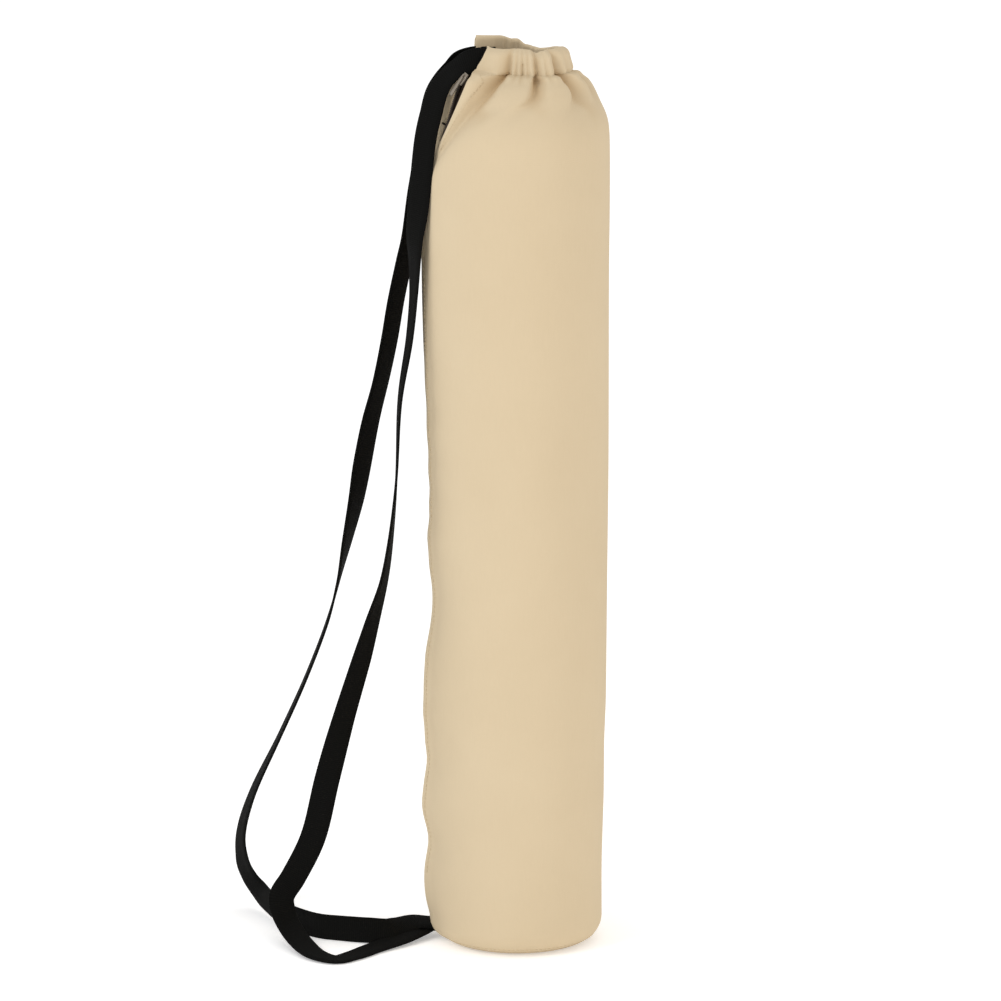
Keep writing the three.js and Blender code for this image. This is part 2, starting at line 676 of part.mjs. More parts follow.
function placeOnZip(geometry, out) {
  const top = underFace(zipLastRow, zipTurn(zipLastRow), -out);
  const bottom = underFace(zipLastRow - 1, zipTurn(zipLastRow - 1), -out);
  const up = top.clone().sub(bottom).normalize();
  const face = underFace(zipLastRow, zipTurn(zipLastRow), -out - 1).sub(top);
  const side = up.clone().cross(face).normalize();
  const square = side.clone().cross(up);
  geometry.applyMatrix4(new THREE.Matrix4().makeBasis(side, up, square));
  const place = bottom.lerp(top, sliderRowShare);
  return geometry.translate(place.x, place.y, place.z);
}

function plate(outline, width, length, depth) {
  const right = outline.map(({ wide, up }) => new THREE.Vector2((wide * width) / 2, (up * length) / 2));
  const left = right.map((point) => new THREE.Vector2(-point.x, point.y)).reverse();
  const shape = new THREE.Shape([...right, ...left]);
  return new THREE.ExtrudeGeometry(shape, { depth, bevelEnabled: false });
}

function makeSlider() {
  const body = plate(sliderOutline, sliderWidth, sliderLength, sliderThickness / 2);
  const lug = plate(lugOutline, sliderWidth, sliderLength, sliderThickness);
  return placeOnZip(toGeometry(toSolid(body).add(toSolid(lug))), coilProud + 2 * clearance);
}

function makePull() {
  const tab = plate(pullOutline, pullWidth, pullLength, pullThickness);
  tab.translate(0, -(sliderLength + pullLength) / 2 - clearance, 0);
  return placeOnZip(tab, coilProud + 4 * clearance);
}

const canvas = new THREE.MeshStandardMaterial({ color: 0xdccbaa, roughness: 0.9, metalness: 0 });
const webbing = new THREE.MeshStandardMaterial({ color: 0x0c0c0b, roughness: 0.8, metalness: 0 });
const tapeCloth = new THREE.MeshStandardMaterial({ color: 0x2e2018, roughness: 0.85, metalness: 0 });
const coilPlastic = new THREE.MeshStandardMaterial({ color: 0x2a1e16, roughness: 0.5, metalness: 0 });
const sliderMetal = new THREE.MeshStandardMaterial({ color: 0x8d8377, roughness: 0.4, metalness: 0.9 });

const bag = new THREE.Group();

function add(name, geometry, material) {
  const mesh = new THREE.Mesh(geometry, material);
  mesh.name = name;
  bag.add(mesh);
  return mesh;
}

add('main_panel', toGeometry(makeMainPanel()), canvas);
add('gathered_top', toGeometry(makeGatheredTop()), canvas);
add('base_panel', toGeometry(makeBasePanel()), canvas);
add('strap', makeStrap(), webbing);
add('zip_tape', makeZipTape(), tapeCloth);
add('zip_coil', makeZipCoil(), coilPlastic);
add('zip_slider', makeSlider(), sliderMetal);
add('zip_pull', makePull(), sliderMetal);

export default bag;
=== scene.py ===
import math

import bmesh
import bpy
import numpy as np
from mathutils import Matrix, Vector


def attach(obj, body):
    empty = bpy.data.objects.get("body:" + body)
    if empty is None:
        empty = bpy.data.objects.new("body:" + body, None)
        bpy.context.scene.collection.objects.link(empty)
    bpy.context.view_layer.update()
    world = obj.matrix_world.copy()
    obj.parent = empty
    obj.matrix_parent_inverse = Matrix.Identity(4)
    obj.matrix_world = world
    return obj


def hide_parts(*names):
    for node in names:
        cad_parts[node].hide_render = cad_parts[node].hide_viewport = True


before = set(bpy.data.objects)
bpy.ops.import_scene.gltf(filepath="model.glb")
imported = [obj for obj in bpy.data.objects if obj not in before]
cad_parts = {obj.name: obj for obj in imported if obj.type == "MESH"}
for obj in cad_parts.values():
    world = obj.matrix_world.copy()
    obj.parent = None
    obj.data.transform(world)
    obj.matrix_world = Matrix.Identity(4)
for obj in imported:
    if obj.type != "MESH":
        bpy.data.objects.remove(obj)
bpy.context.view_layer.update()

# Studio. A wide white floor under the bag, one large soft light from the left and front, a weaker one
# from the right, and a white surround. The camera looks level with the photograph, 13 degrees down.
aim = Vector((-0.0132, 0.0, 0.3504))
camera_rise = math.radians(13)
camera_distance = 6.465

bpy.ops.object.select_all(action="DESELECT")
bpy.ops.mesh.primitive_plane_add(size=40, location=(0, 0, -0.0003))
floor = bpy.context.object
floor.name = "floor"
paper = bpy.data.materials.new("floor_paper")
paper.use_nodes = True
paper_shader = paper.node_tree.nodes["Principled BSDF"]
paper_shader.inputs["Base Color"].default_value = (0.93, 0.93, 0.93, 1)
paper_shader.inputs["Roughness"].default_value = 0.9
paper_shader.inputs["Specular IOR Level"].default_value = 0.1
paper_shader.inputs["Emission Color"].default_value = (1, 1, 1, 1)
paper_shader.inputs["Emission Strength"].default_value = 0.3
floor.data.materials.append(paper)

world = bpy.context.scene.world or bpy.data.worlds.new("surround")
bpy.context.scene.world = world
world.use_nodes = True
world.node_tree.nodes["Background"].inputs["Color"].default_value = (1, 1, 1, 1)
world.node_tree.nodes["Background"].inputs["Strength"].default_value = 0.84


def soft_light(name, place, size, power, colour):
    light = bpy.data.lights.new(name, "AREA")
    light.shape = "DISK"
    light.size = size
    light.energy = power
    light.color = colour
    lamp = bpy.data.objects.new(name, light)
    bpy.context.scene.collection.objects.link(lamp)
    lamp.location = place
    lamp.rotation_euler = (aim - Vector(place)).to_track_quat("-Z", "Y").to_euler()


soft_light("key_light", (-2.2, -1.7, 2.0), 1.1, 22, (1.0, 1.0, 1.0))
soft_light("warm_fill", (2.0, -2.2, 1.2), 1.8, 13, (1.0, 0.84, 0.66))

bpy.context.scene.view_settings.view_transform = "Standard"
camera_data = bpy.data.cameras.new("camera")
camera_data.lens = 300
camera_data.sensor_width = 36
camera = bpy.data.objects.new("camera", camera_data)
bpy.context.scene.collection.objects.link(camera)
camera.location = aim + camera_distance * Vector((0, -math.cos(camera_rise), math.sin(camera_rise)))
camera.rotation_euler = (math.pi / 2 - camera_rise, 0, 0)
bpy.context.scene.camera = camera

# Canvas. One tube of plain cream cotton, slit down the left side for the zip. Its top is drawn
# together in folds and turned inward into a casing for the strap; its foot is sewn to the base.
body_radius = 70.0
shoulder_height = 650.0
gather_rise = 44.0
cloth = 1.4
edge_radius = 19.0
base_share = 0.947
seam_turn = 57.5
neck_half_width = body_radius * 0.534
neck_half_depth = body_radius * 0.5
neck_shift = body_radius * 0.06
neck_taper = 0.2
fold_depth = 11.0
strap_width = 20.0
stitch_height = shoulder_height + gather_rise - 6
casing_height = 24.2
casing_fold = 5.0
casing_lean = 3.6
ring_inset = 8.4
ring_bottom = stitch_height + 2.1
layer_inset = 3.1
tube_top_drop = 0.93
millimetre = 0.001
neck_sag = 8.0
neck_sag_turn = 60.0
neck_sag_reach = 90.0
zip_turn = 184.0
zip_neck_turn = 223.0
zip_turned = 0.68
pucker_angle = 55.0
zip_back_angle = 100.0
zip_front_angle = 60.0

# height as a share of the tube, then radius as a share of the body on the zip side and elsewhere
tube_rows = [
    (0.079, 1.013, 0.947),
    (0.131, 0.969, 0.957),
    (0.184, 1.036, 0.969),
    (0.236, 0.98, 0.971),
    (0.302, 1.013, 0.989),
    (0.368, 0.991, 0.991),
    (0.445, 0.903, 0.991),
    (0.524, 0.957, 0.994),
    (0.576, 0.936, 0.997),
    (0.693, 0.969, 1.001),
    (0.821, 1.011, 1.006),
    (0.92, 1.024, 1.019),
    (1.0, 1.0, 1.019),
]
# how far the round body has closed to the neck, height on the zip side and elsewhere, fold depth, and
# how far the zip has turned to the front
shoulder_rows = [
    (0.14, -0.77, 0.27, 0.2, 0.05),
    (0.27, 0.0, 0.455, 0.45, 0.5),
    (0.43, 0.62, 0.64, 0.75, 0.62),
    (0.55, 0.89, 0.75, 0.9, zip_turned),
    (0.68, 0.94, 0.82, 1.0, zip_turned),
    (0.82, 0.97, 0.91, 1.0, zip_turned),
]
# height as a share of the casing, rise of the zip side, lean, fold depth
casing_rows = [
    (0.1, 3.0, -0.1, 1.05),
    (0.26, 1.8, 0.0, 1.0),
    (0.56, 0.8, 0.7, 0.85),
    (0.88, 0.0, 1.5, 0.6),
]
# where the cloth rolls over the rim: height over it, fold depth and inset in millimetres
rolled_inset = ring_inset + casing_lean
roll_rows = [
    (-0.7, 2.4, ring_inset),
    (0.5, 2.0, rolled_inset),
    (-0.9, 2.2, rolled_inset + layer_inset - 0.2),
]
# the layer inside the strap: height as a share of the webbing's width, fold depth
inner_rows = [(0.75, 2.34), (0.45, 2.6), (0.1, 2.08), (-0.1, 1.56)]


def nearness(degrees, centre, reach):
    away = np.abs((degrees - centre + 540) % 360 - 180) / reach
    return np.where(away < 1, 0.5 + 0.5 * np.cos(np.pi * np.minimum(away, 1)), 0)


# Each row: radius elsewhere, radius on the zip side, height elsewhere, height on the zip side,
# gather, fold depth, inset, turn of the zip, spread of the casing's open ends.
rows = []
for turn in (57.5, 44, 30, 15, 0):
    radius = body_radius * base_share - edge_radius * (1 - math.cos(math.radians(turn)))
    height = edge_radius * (1 - math.sin(math.radians(turn)))
    rows.append((radius, radius, height, height, 0, 0, 0, 0, 0))
for share, zip_side, plain in tube_rows:
    zip_height = (shoulder_height - gather_rise * tube_top_drop) * share
    plain_height = shoulder_height * share
    rows.append(
        (body_radius * plain, body_radius * zip_side, plain_height, zip_height, 0, 0, 0, 0, 0))
first_shoulder = len(rows)
for gather, zip_side, plain, fold, turned in shoulder_rows:
    heights = [shoulder_height + gather_rise * side for side in (plain, zip_side)]
    spread = min(1.0, max(0.0, (gather - 0.43) / 0.35))
    rows.append((body_radius, body_radius, *heights, gather, fold_depth * fold, 0, turned, spread))
first_casing = len(rows)
for rise, lift, lean, fold in casing_rows:
    height = stitch_height + casing_height * rise
    inset = casing_lean * lean
    rows.append((
        body_radius, body_radius, height, height + lift, 1, casing_fold * fold, inset, zip_turned, 1))
rim = stitch_height + casing_height
for rise, fold, inset in roll_rows:
    rows.append((
        body_radius, body_radius, rim + rise, rim + rise, 1, fold, inset, zip_turned, 1))
rim_row = len(rows) - 2
for rise, fold in inner_rows:
    height = ring_bottom + strap_width * rise
    inset = ring_inset + casing_lean * rise + layer_inset
    rows.append((body_radius, body_radius, height, height, 1, fold, inset, zip_turned, 1))
sewn = stitch_height - 0.8
rows.append((body_radius, body_radius, sewn, sewn, 1, 4.4, 6.0, zip_turned, 1))
last_row = len(rows) - 1
rows = np.array(rows, float)

# Folds that the drawn strap makes: turn at the shoulder and at the neck, half width on its left and on
# its right, share of that width at the neck, depth, and the gather at which the fold starts.
folds = [
    (236, 251, 23, 11, 0.66, 1.4, 0.0),
    (282, 288, 13, 12, 0.6, 1.15, 0.06),
    (329, 312, 8, 23, 0.66, 1.4, 0.0),
    (355, 348, 14, 16, 0.62, 0.6, 0.1),
    (22, 28, 18, 18, 0.67, 0.8, 0.0),
    (52, 58, 17, 17, 0.7, 0.7, 0.1),
    (84, 88, 20, 20, 0.65, 0.9, 0.0),
    (116, 116, 17, 17, 0.7, 0.7, 0.1),
    (146, 143, 18, 18, 0.67, 0.7, 0.0),
    (186, 224, 22, 20, 1.0, 0.3, 0.0),
    (262, 262, 6, 5, 0.8, 0.5, 0.66),
    (270, 269, 6, 5, 0.8, 0.55, 0.62),
    (279, 276, 6, 5, 0.8, 0.45, 0.7),
    (300, 299, 6, 6, 0.8, 0.5, 0.66),
    (311, 307, 6, 6, 0.8, 0.35, 0.78),
    (338, 331, 7, 7, 0.9, 0.35, 0.75),
    (8, 8, 8, 8, 0.75, 0.4, 0.7),
    (40, 42, 8, 8, 0.75, 0.4, 0.7),
    (70, 73, 8, 8, 0.75, 0.4, 0.7),
    (101, 102, 8, 8, 0.75, 0.4, 0.7),
    (131, 130, 8, 8, 0.75, 0.4, 0.7),
]
# Puckers where the gathers end under the casing: turn, gather, half width in degrees, half height in
# gather, depth in millimetres
puckers = [(290, 0.66, 3.4, 0.09, 6.0), (285.5, 0.6, 2.0, 0.08, 2.0), (262, 0.86, 3.0, 0.1, 2.5),
           (270, 0.9, 3.0, 0.12, 3.0), (318, 0.8, 4.0, 0.1, 2.5), (253, 0.8, 4.0, 0.12, 2.0)]


def fold_wave(degrees, gather):
    """How deep the folds are at a place, 0 on the ridges and 1 or more in a deep valley."""
    total = np.zeros(np.broadcast(degrees, gather).shape)
    for low_turn, high_turn, left, right, neck_share, depth, start in folds:
        centre = low_turn + ((high_turn - low_turn + 540) % 360 - 180) * gather
        off = (degrees - centre + 540) % 360 - 180
        away = np.abs(off) / (np.where(off < 0, left, right) * (1 + (neck_share - 1) * gather))
        away = (np.sqrt(away**2 + 0.02) - 0.1414) / 0.8686
        valley = np.clip(1 - away, 0, 1) ** 1.6
        grown = np.clip((gather - start) / 0.3, 0, 1) if start > 0 else 1.0
        total = total + (depth * valley * grown) ** 4
    return total**0.25


def along_rows(field, place):
    """A field of the rows at fractional places between them, smooth and without overshoot."""
    knots = np.arange(len(field), dtype=float)
    slope = np.diff(field)
    tangent = np.zeros(len(field))
    inner = slope[:-1] * slope[1:] > 0
    tangent[1:-1][inner] = 2 * slope[:-1][inner] * slope[1:][inner] / (slope[:-1] + slope[1:])[inner]
    tangent[0], tangent[-1] = slope[0], slope[-1]
    low = np.clip(np.floor(place).astype(int), 0, len(field) - 2)
    part = place - knots[low]
    rise = field[low + 1] - field[low]
    return (
        field[low]
        + tangent[low] * part
        + (3 * rise - 2 * tangent[low] - tangent[low + 1]) * part**2
        + (tangent[low] + tangent[low + 1] - 2 * rise) * part**3
    )


def around(degrees, table):
    """A value round the bag from a few (turn, value) pairs, smooth between them."""
    turns = np.array([turn for turn, _ in table], float)
    values = np.array([value for _, value in table], float)
    turns = np.concatenate([turns, [turns[0] + 360]])
    values = np.concatenate([values, [values[0]]])
    place = (degrees - turns[0]) % 360 + turns[0]
    low = np.clip(np.searchsorted(turns, place, side="right") - 1, 0, len(turns) - 2)
    part = (place - turns[low]) / (turns[low + 1] - turns[low])
    part = part * part * (3 - 2 * part)
    return values[low] + (values[low + 1] - values[low]) * part


# The rim isn't level: the back stands higher on the zip side, and there is a notch at the front.
rim_rise = [(0, -3.5), (30, -2.0), (60, -2.2), (85, -1.0), (100, 1.6), (112, 0.4), (130, 1.2),
            (168, 2.2), (195, -2.0), (225, -4.0), (245, -4.0), (262, -3.5), (280, -4.0),
            (293, -6.5), (303, -4.8), (325, -4.2)]
# How far the cloth stands out at the foot of the casing and at its rim: the flat front flap on the left
# and the one on the right.
foot_push = [(90, 1.0), (150, 1.0), (195, 5.5), (225, 6.5), (243, 5.0), (256, 0.0), (268, 1.0),
             (276, 0.5), (289, 0.0), (302, 3.0), (315, 0.5), (335, 2.0), (350, 0.0)]
rim_push = [(20, 2.0), (60, 0.0), (150, 1.0), (195, 6.0), (215, 6.5), (232, 5.0), (245, 3.0),
            (257, 0.0), (289, 0.0), (306, 3.5), (325, 4.0), (345, 5.5)]
# The back end of the casing is drawn out along the strap: turn where that starts and ends, x of the
# end, y of its outer layer and how far in front of it the inner one lies.
drawn_from = 132.0
drawn_to = 165.0
drawn_x = -32.0
drawn_y = 10.8
drawn_layers = 6.4
dent_random = np.random.default_rng(7)
dent_terms = [
    (dent_random.integers(1, 6), dent_random.uniform(0.006, 0.028), *dent_random.uniform(0, 6.28, 2))
    for _ in range(14)
]


def body_dents(degrees, height):
    """Slow swellings of the cloth, and short puckers beside the zip, in millimetres."""
    total = np.zeros(np.broadcast(degrees, height).shape)
    for turns, rate, first, second in dent_terms:
        total = total + np.sin(np.radians(degrees) * turns + first) * np.sin(height * rate + second)
    wave = np.sin(height * 0.21 + 1.3 * np.sin(height * 0.037)) * np.sin(height * 0.011 + 0.6)
    return total * 0.24 + 0.5 * wave * nearness(degrees, zip_turn + 14, 34)


def canvas_point(degrees, place, lift=0.0):
    """A point of the canvas's outer face: degrees round the bag, place along the rows."""
    degrees = np.asarray(degrees, float)
    place = np.asarray(place, float) + 0 * degrees
    plain, zip_side, height, zip_height, gather, fold, inset, turned, spread = (
        along_rows(rows[:, k], place) for k in range(9))
    radius = plain + (zip_side - plain) * nearness(degrees, zip_turn, pucker_angle)
    past = (degrees - zip_turn + 540) % 360 - 180
    reached = (zip_neck_turn - zip_turn) * turned
    away = np.maximum((past - reached) / (zip_front_angle - reached), -past / zip_back_angle)
    zip_share = 0.5 + 0.5 * np.cos(np.pi * np.clip(away, 0, 1))
    sag = neck_sag * nearness(degrees, neck_sag_turn, neck_sag_reach)
    height = height + (zip_height - height) * zip_share - sag * gather
    angle = np.radians(degrees)
    across, up = np.cos(angle), np.sin(angle)
    rim_share = np.clip((place - first_casing) / 4.5, 0, 1)
    push_out = around(degrees, foot_push) * (1 - rim_share) + around(degrees, rim_push) * rim_share
    inset = inset - push_out * spread
    neck_x = neck_shift + (neck_half_width - inset) * across
    neck_y = (neck_half_depth - inset) * (1 + neck_taper * across) * up
    x = radius * across + (neck_x - radius * across) * gather
    y = radius * up + (neck_y - radius * up) * gather
    out_x, out_y = x - neck_shift * gather, y
    size = np.hypot(out_x, out_y)
    out_x, out_y = out_x / size, out_y / size
    drawn = (degrees % 360 - drawn_from) / (drawn_to - drawn_from)
    pull = np.clip(drawn, 0, 1) ** 1.4 * (degrees % 360 < 200)
    pull = pull * np.clip((place - first_casing + 1) / 1.2, 0, 1)
    layer = np.clip((place - rim_row + 2) / 3.0, 0, 1)
    x = x + pull * (drawn_x - x)
    y = y + pull * (drawn_y - drawn_layers * layer - y)
    rim_near = np.clip((place - first_casing) / 3.0, 0, 1) * np.clip((last_row - place) / 5.0, 0, 1)
    height = height + around(degrees, rim_rise) * rim_near
    body_share = np.clip(place / 6.0, 0, 1) * np.clip((first_casing - 3 - place) / 4.0, 0, 1)
    dent = np.zeros(np.broadcast(degrees, gather).shape)
    for turn, level, wide, tall, depth in puckers:
        off = (degrees - turn + 540) % 360 - 180
        dent = dent + depth * np.exp(-((off / wide) ** 2) - ((gather - level) / tall) ** 2)
    push = lift - fold * fold_wave(degrees, gather) - dent * (place < first_casing + 2)
    push = push + body_dents(degrees, height) * body_share
    return np.stack([x + out_x * push, y + out_y * push, height], axis=-1)


# Places along the rows of the fine sheet, so many millimetres apart up to each row
row_spacing = [(5, 2.6), (first_shoulder - 1.5, 6.2), (first_casing, 1.9), (last_row + 1, 1.4)]
sample = canvas_point(np.full(last_row * 40 + 1, 300.0), np.linspace(0, last_row, last_row * 40 + 1))
lengths = np.concatenate([[0], np.cumsum(np.linalg.norm(np.diff(sample, axis=0), axis=1))])
reach = lengths[-1]
steps = [0.0]
while steps[-1] < reach:
    here = np.interp(steps[-1], lengths, np.linspace(0, last_row, len(lengths)))
    steps.append(steps[-1] + next(spacing for row, spacing in row_spacing if here < row))
fine_places = np.interp(np.minimum(steps, reach), lengths, np.linspace(0, last_row, len(lengths)))

slot_half = 3.0
strip_top_place = first_shoulder + 3.7
vent_back_turn = 525.0


def zip_path_turn(place):
    """Where the zip's middle lies round the bag at a place along the rows."""
    turned = along_rows(rows[:, 7], np.asarray(place, float))
    return zip_turn + (zip_neck_turn - zip_turn) * turned


# Edge of the front flap over the zip, height and x in millimetres
flap_edge = [(600, -65.5), (627, -60.6), (641, -54.6), (654, -49.0), (666, -45.0), (677, -41.4),
             (685, -37.4), (693.8, -31.4), (699.6, -27.8), (707.3, -23.6), (713.3, -20.2), (718, -18)]
# the turn at which each row reaches that edge, found by halving the range that holds it
edge_turns = zip_path_turn(fine_places)
low_turn = np.full(len(fine_places), 192.0)
high_turn = np.full(len(fine_places), 250.0)
for _ in range(26):
    middle_turn = (low_turn + high_turn) / 2
    point = canvas_point(middle_turn, fine_places)
    inside = np.clip((fine_places - rim_row) / 2.0, 0, 1) * 2.0
    wanted = np.interp(point[:, 2], [z for z, _ in flap_edge], [x for _, x in flap_edge]) + inside
    too_far = point[:, 0] > wanted
    high_turn = np.where(too_far, middle_turn, high_turn)
    low_turn = np.where(too_far, low_turn, middle_turn)
blend = np.clip((fine_places - first_shoulder) / 1.2, 0, 1)
edge_turns = edge_turns + (middle_turn - edge_turns) * blend
edge_turns = np.convolve(np.pad(edge_turns, 2, mode="edge"), np.ones(5) / 5, mode="valid")

# Columns: close together where the flap rolls over at its edge, then even round to the back
roll_steps = [0, 0.35, 0.8, 1.4, 2.2, 3.2, 4.5, 6.2, 8.5, 11.5, 15]
even_columns = 226
strip_columns = 20


teeth_rise = 1.9
roll_radius = 1.6
flap_flat = 4.0
flap_slope = 13.0


def flap_lift(distance, strength):
    """How far the flap stands out over the teeth, at a distance from its rounded edge."""
    roll = teeth_rise + np.sqrt(np.clip(1 - (1 - np.clip(distance / roll_radius, 0, 1)) ** 2, 0, 1))
    fade = np.clip((distance - flap_flat) / flap_slope, 0, 1)
    return roll * (1 - fade * fade * (3 - 2 * fade)) * strength


def mesh_object(name, points, faces):
    mesh = bpy.data.meshes.new(name)
    mesh.from_pydata([tuple(millimetre * float(side) for side in point) for point in points], [], faces)
    mesh.update()
    mesh.polygons.foreach_set("use_smooth", [True] * len(mesh.polygons))
    piece = bpy.data.objects.new(name, mesh)
    bpy.context.scene.collection.objects.link(piece)
    return piece


def lay_flat(piece, places):
    """The piece's own UV map in metres, one place for each of its points."""
    layer = piece.data.uv_layers.new(name="UVMap")
    for loop in piece.data.loops:
        layer.data[loop.index].uv = places[loop.vertex_index]


def give_wall(piece):
    """Make a sheet a wall of cloth, grown inward from its outer face."""
    wall = piece.modifiers.new("wall", "SOLIDIFY")
    wall.thickness = cloth * millimetre
    wall.offset = -1
    bpy.ops.object.select_all(action="DESELECT")
    bpy.context.view_layer.objects.active = piece
    piece.select_set(True)
    bpy.ops.object.modifier_apply(modifier="wall")


grid = []
grid_turns = []
for place, edge in zip(fine_places, edge_turns):
    middle = canvas_point(edge, place)
    to_degrees = math.degrees(1 / math.hypot(middle[0], middle[1]))
    rolled = edge + np.array(roll_steps) * to_degrees
    turns = np.concatenate([rolled, np.linspace(rolled[-1], vent_back_turn, even_columns + 1)[1:]])
    strength = float(np.clip((first_casing + 1.5 - place) / 3.0, 0.25, 1))
    distance = (turns - edge) / to_degrees
    lifts = flap_lift(distance, strength)
    back_edge = float(zip_path_turn(place)) + 360 - slot_half * to_degrees
    strip_turns = np.linspace(vent_back_turn, back_edge, strip_columns + 1)[1:]
    turns = np.concatenate([turns, strip_turns])
    lifts = np.concatenate([lifts, np.zeros(strip_columns)])
    grid.append(canvas_point(turns, np.full(len(turns), place), lifts))
    grid_turns.append(turns)
grid = np.array(grid)
grid_turns = np.array(grid_turns)

# The cloth bends softly where the tube turns into the shoulder.
softness = np.exp(-(((fine_places - first_shoulder + 0.6) / 1.6) ** 2))[1:-1, None, None]
for _ in range(60):
    grid[1:-1] += 0.5 * softness * ((grid[:-2] + grid[2:]) / 2 - grid[1:-1])

main_columns = len(roll_steps) + even_columns
sheet_points = []
sheet_uv = []
sheet_fold = []
sheet_faces = []
previous = None
for index, place in enumerate(fine_places):
    count = main_columns + strip_columns if place <= strip_top_place else main_columns
    start = len(sheet_points)
    turns = grid_turns[index, :count]
    sheet_points.extend(grid[index, :count].tolist())
    gather = float(along_rows(rows[:, 4], np.array(place)))
    share = float(along_rows(rows[:, 5], np.array(place))) / fold_depth
    sheet_fold.extend((fold_wave(turns, gather) * share).tolist())
    for turn in turns:
        across = math.radians(turn) * body_radius
        sheet_uv.append((across * millimetre, steps[index] * millimetre))
    if previous is not None:
        for k in range(min(previous[1], count) - 1):
            sheet_faces.append((previous[0] + k, previous[0] + k + 1, start + k + 1, start + k))
    previous = (start, count)

canvas_body = mesh_object("canvas_body", sheet_points, sheet_faces)
lay_flat(canvas_body, sheet_uv)
# The fold depth at each point, which the canvas material reads to paint shade into the fold valleys.
fold_field = canvas_body.data.attributes.new("fold", "FLOAT", "POINT")
fold_field.data.foreach_set("value", sheet_fold)
give_wall(canvas_body)


class Field:
    """A socket of a material's nodes that takes part in sums, so that shader maths reads as maths."""

    def __init__(self, material, socket):
        self.material = material
        self.socket = socket

    def node(self, kind, settings=None, inputs=None, output=0):
        tree = self.material.node_tree
        made = tree.nodes.new(kind)
        for name, value in (settings or {}).items():
            setattr(made, name, value)
        for name, value in (inputs or {}).items():
            if isinstance(value, Field):
                tree.links.new(value.socket, made.inputs[name])
            elif isinstance(value, tuple) and made.inputs[name].type == "RGBA":
                made.inputs[name].default_value = (*value, 1)
            else:
                made.inputs[name].default_value = value
        return Field(self.material, made.outputs[output])

    def math(self, operation, first, second):
        return self.node("ShaderNodeMath", {"operation": operation}, {0: first, 1: second})

    def __add__(self, other):
        return self.math("ADD", self, other)

    __radd__ = __add__

    def __mul__(self, other):
        return self.math("MULTIPLY", self, other)

    __rmul__ = __mul__

    def __sub__(self, other):
        return self.math("SUBTRACT", self, other)

    def __rsub__(self, other):
        return self.math("SUBTRACT", other, self)

    def feed(self, name):
        shader = self.material.node_tree.nodes["Principled BSDF"]
        self.material.node_tree.links.new(self.socket, shader.inputs[name])


def new_material(name, roughness, **constants):
    material = bpy.data.materials.new(name)
    material.use_nodes = True
    shader = material.node_tree.nodes["Principled BSDF"]
    shader.inputs["Roughness"].default_value = roughness
    for key, value in constants.items():
        shader.inputs[key.replace("_", " ")].default_value = value
    return material


def coordinates(material, kind="Object"):
    node = material.node_tree.nodes.new("ShaderNodeTexCoord")
    return Field(material, node.outputs[kind])


def mix_colour(amount, first, second):
    """A colour between two, by a value from 0 to 1. Sockets 6 and 7 of a Mix node are its colours."""
    inputs = {0: amount, 6: first, 7: second}
    return amount.node("ShaderNodeMix", {"data_type": "RGBA"}, inputs, output=2)


def bump(height, strength, distance):
    """Relief of that depth in metres, fed to the shader."""
    inputs = {"Strength": strength, "Distance": distance, "Height": height}
    height.node("ShaderNodeBump", inputs=inputs).feed("Normal")


def noise(place, scale, detail=2.0, roughness=0.5):
    """Soft irregular spots."""
    inputs = {"Vector": place, "Scale": scale, "Detail": detail, "Roughness": roughness}
    return place.node("ShaderNodeTexNoise", inputs=inputs)


def bands(place, direction, scale, distortion=0.0):
    """Even bars of light and dark across one direction, such as threads or ribs."""
    inputs = {"Vector": place, "Scale": scale, "Distortion": distortion}
    return place.node("ShaderNodeTexWave", {"bands_direction": direction}, inputs, 1)


def stretched(place, scale):
    return place.node("ShaderNodeMapping", inputs={"Vector": place, "Scale": scale})


def woven(place, scale):
    """Warp and weft threads of a plain weave."""
    return bands(place, "X", scale, 0.8), bands(place, "Y", scale, 0.8)


def dress_canvas(material, place, solid, light, deep, valley, fold_share):
    """Cream cotton: slow mottle, slubs along the threads, a darker colour mixed in by a share, and the
    weave as relief. On the body that share is painted shade in the fold valleys; on the base it is
    darker random spots.
    """
    warp, weft = woven(place, 380.0)
    mottle = noise(solid, 9.0, 4.0, 0.6)
    slub = noise(stretched(place, (900.0, 60.0, 60.0)), 1.0)
    speckle = noise(solid, 420.0)
    tone = mix_colour(mottle * 1.0, light, deep)
    # On the body this mixes in painted shade where the folds are deep; on the base it mixes in the
    # darker random spots.
    tone = mix_colour(fold_share, tone, valley)
    threads = warp * weft * 0.09 + slub * 0.08 + speckle * 0.05
    mix_colour(threads, tone, (0.42, 0.33, 0.21)).feed("Base Color")
    bump(warp * 0.5 + weft * 0.5 + slub * 0.8 + speckle * 0.6, 0.22, 0.0003)


cream = new_material("cream_canvas", 0.92, Specular_IOR_Level=0.2)
cloth_solid = coordinates(cream)
# Painted shade: the stored fold depth darkens the canvas towards a brown in the fold valleys, where the
# folds fall in shade.
fold_shade_mask = cloth_solid.node("ShaderNodeAttribute", {"attribute_name": "fold"}, output=2)
cream_light, cream_deep, cream_valley_shade = (0.66, 0.545, 0.375), (0.6, 0.485, 0.322), (0.49, 0.34, 0.18)
cloth_flat = coordinates(cream, "UV")
dress_canvas(cream, cloth_flat, cloth_solid, cream_light, cream_deep, cream_valley_shade, fold_shade_mask * 0.7)
canvas_body.data.materials.append(cream)
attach(canvas_body, "root")
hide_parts("main_panel", "gathered_top")

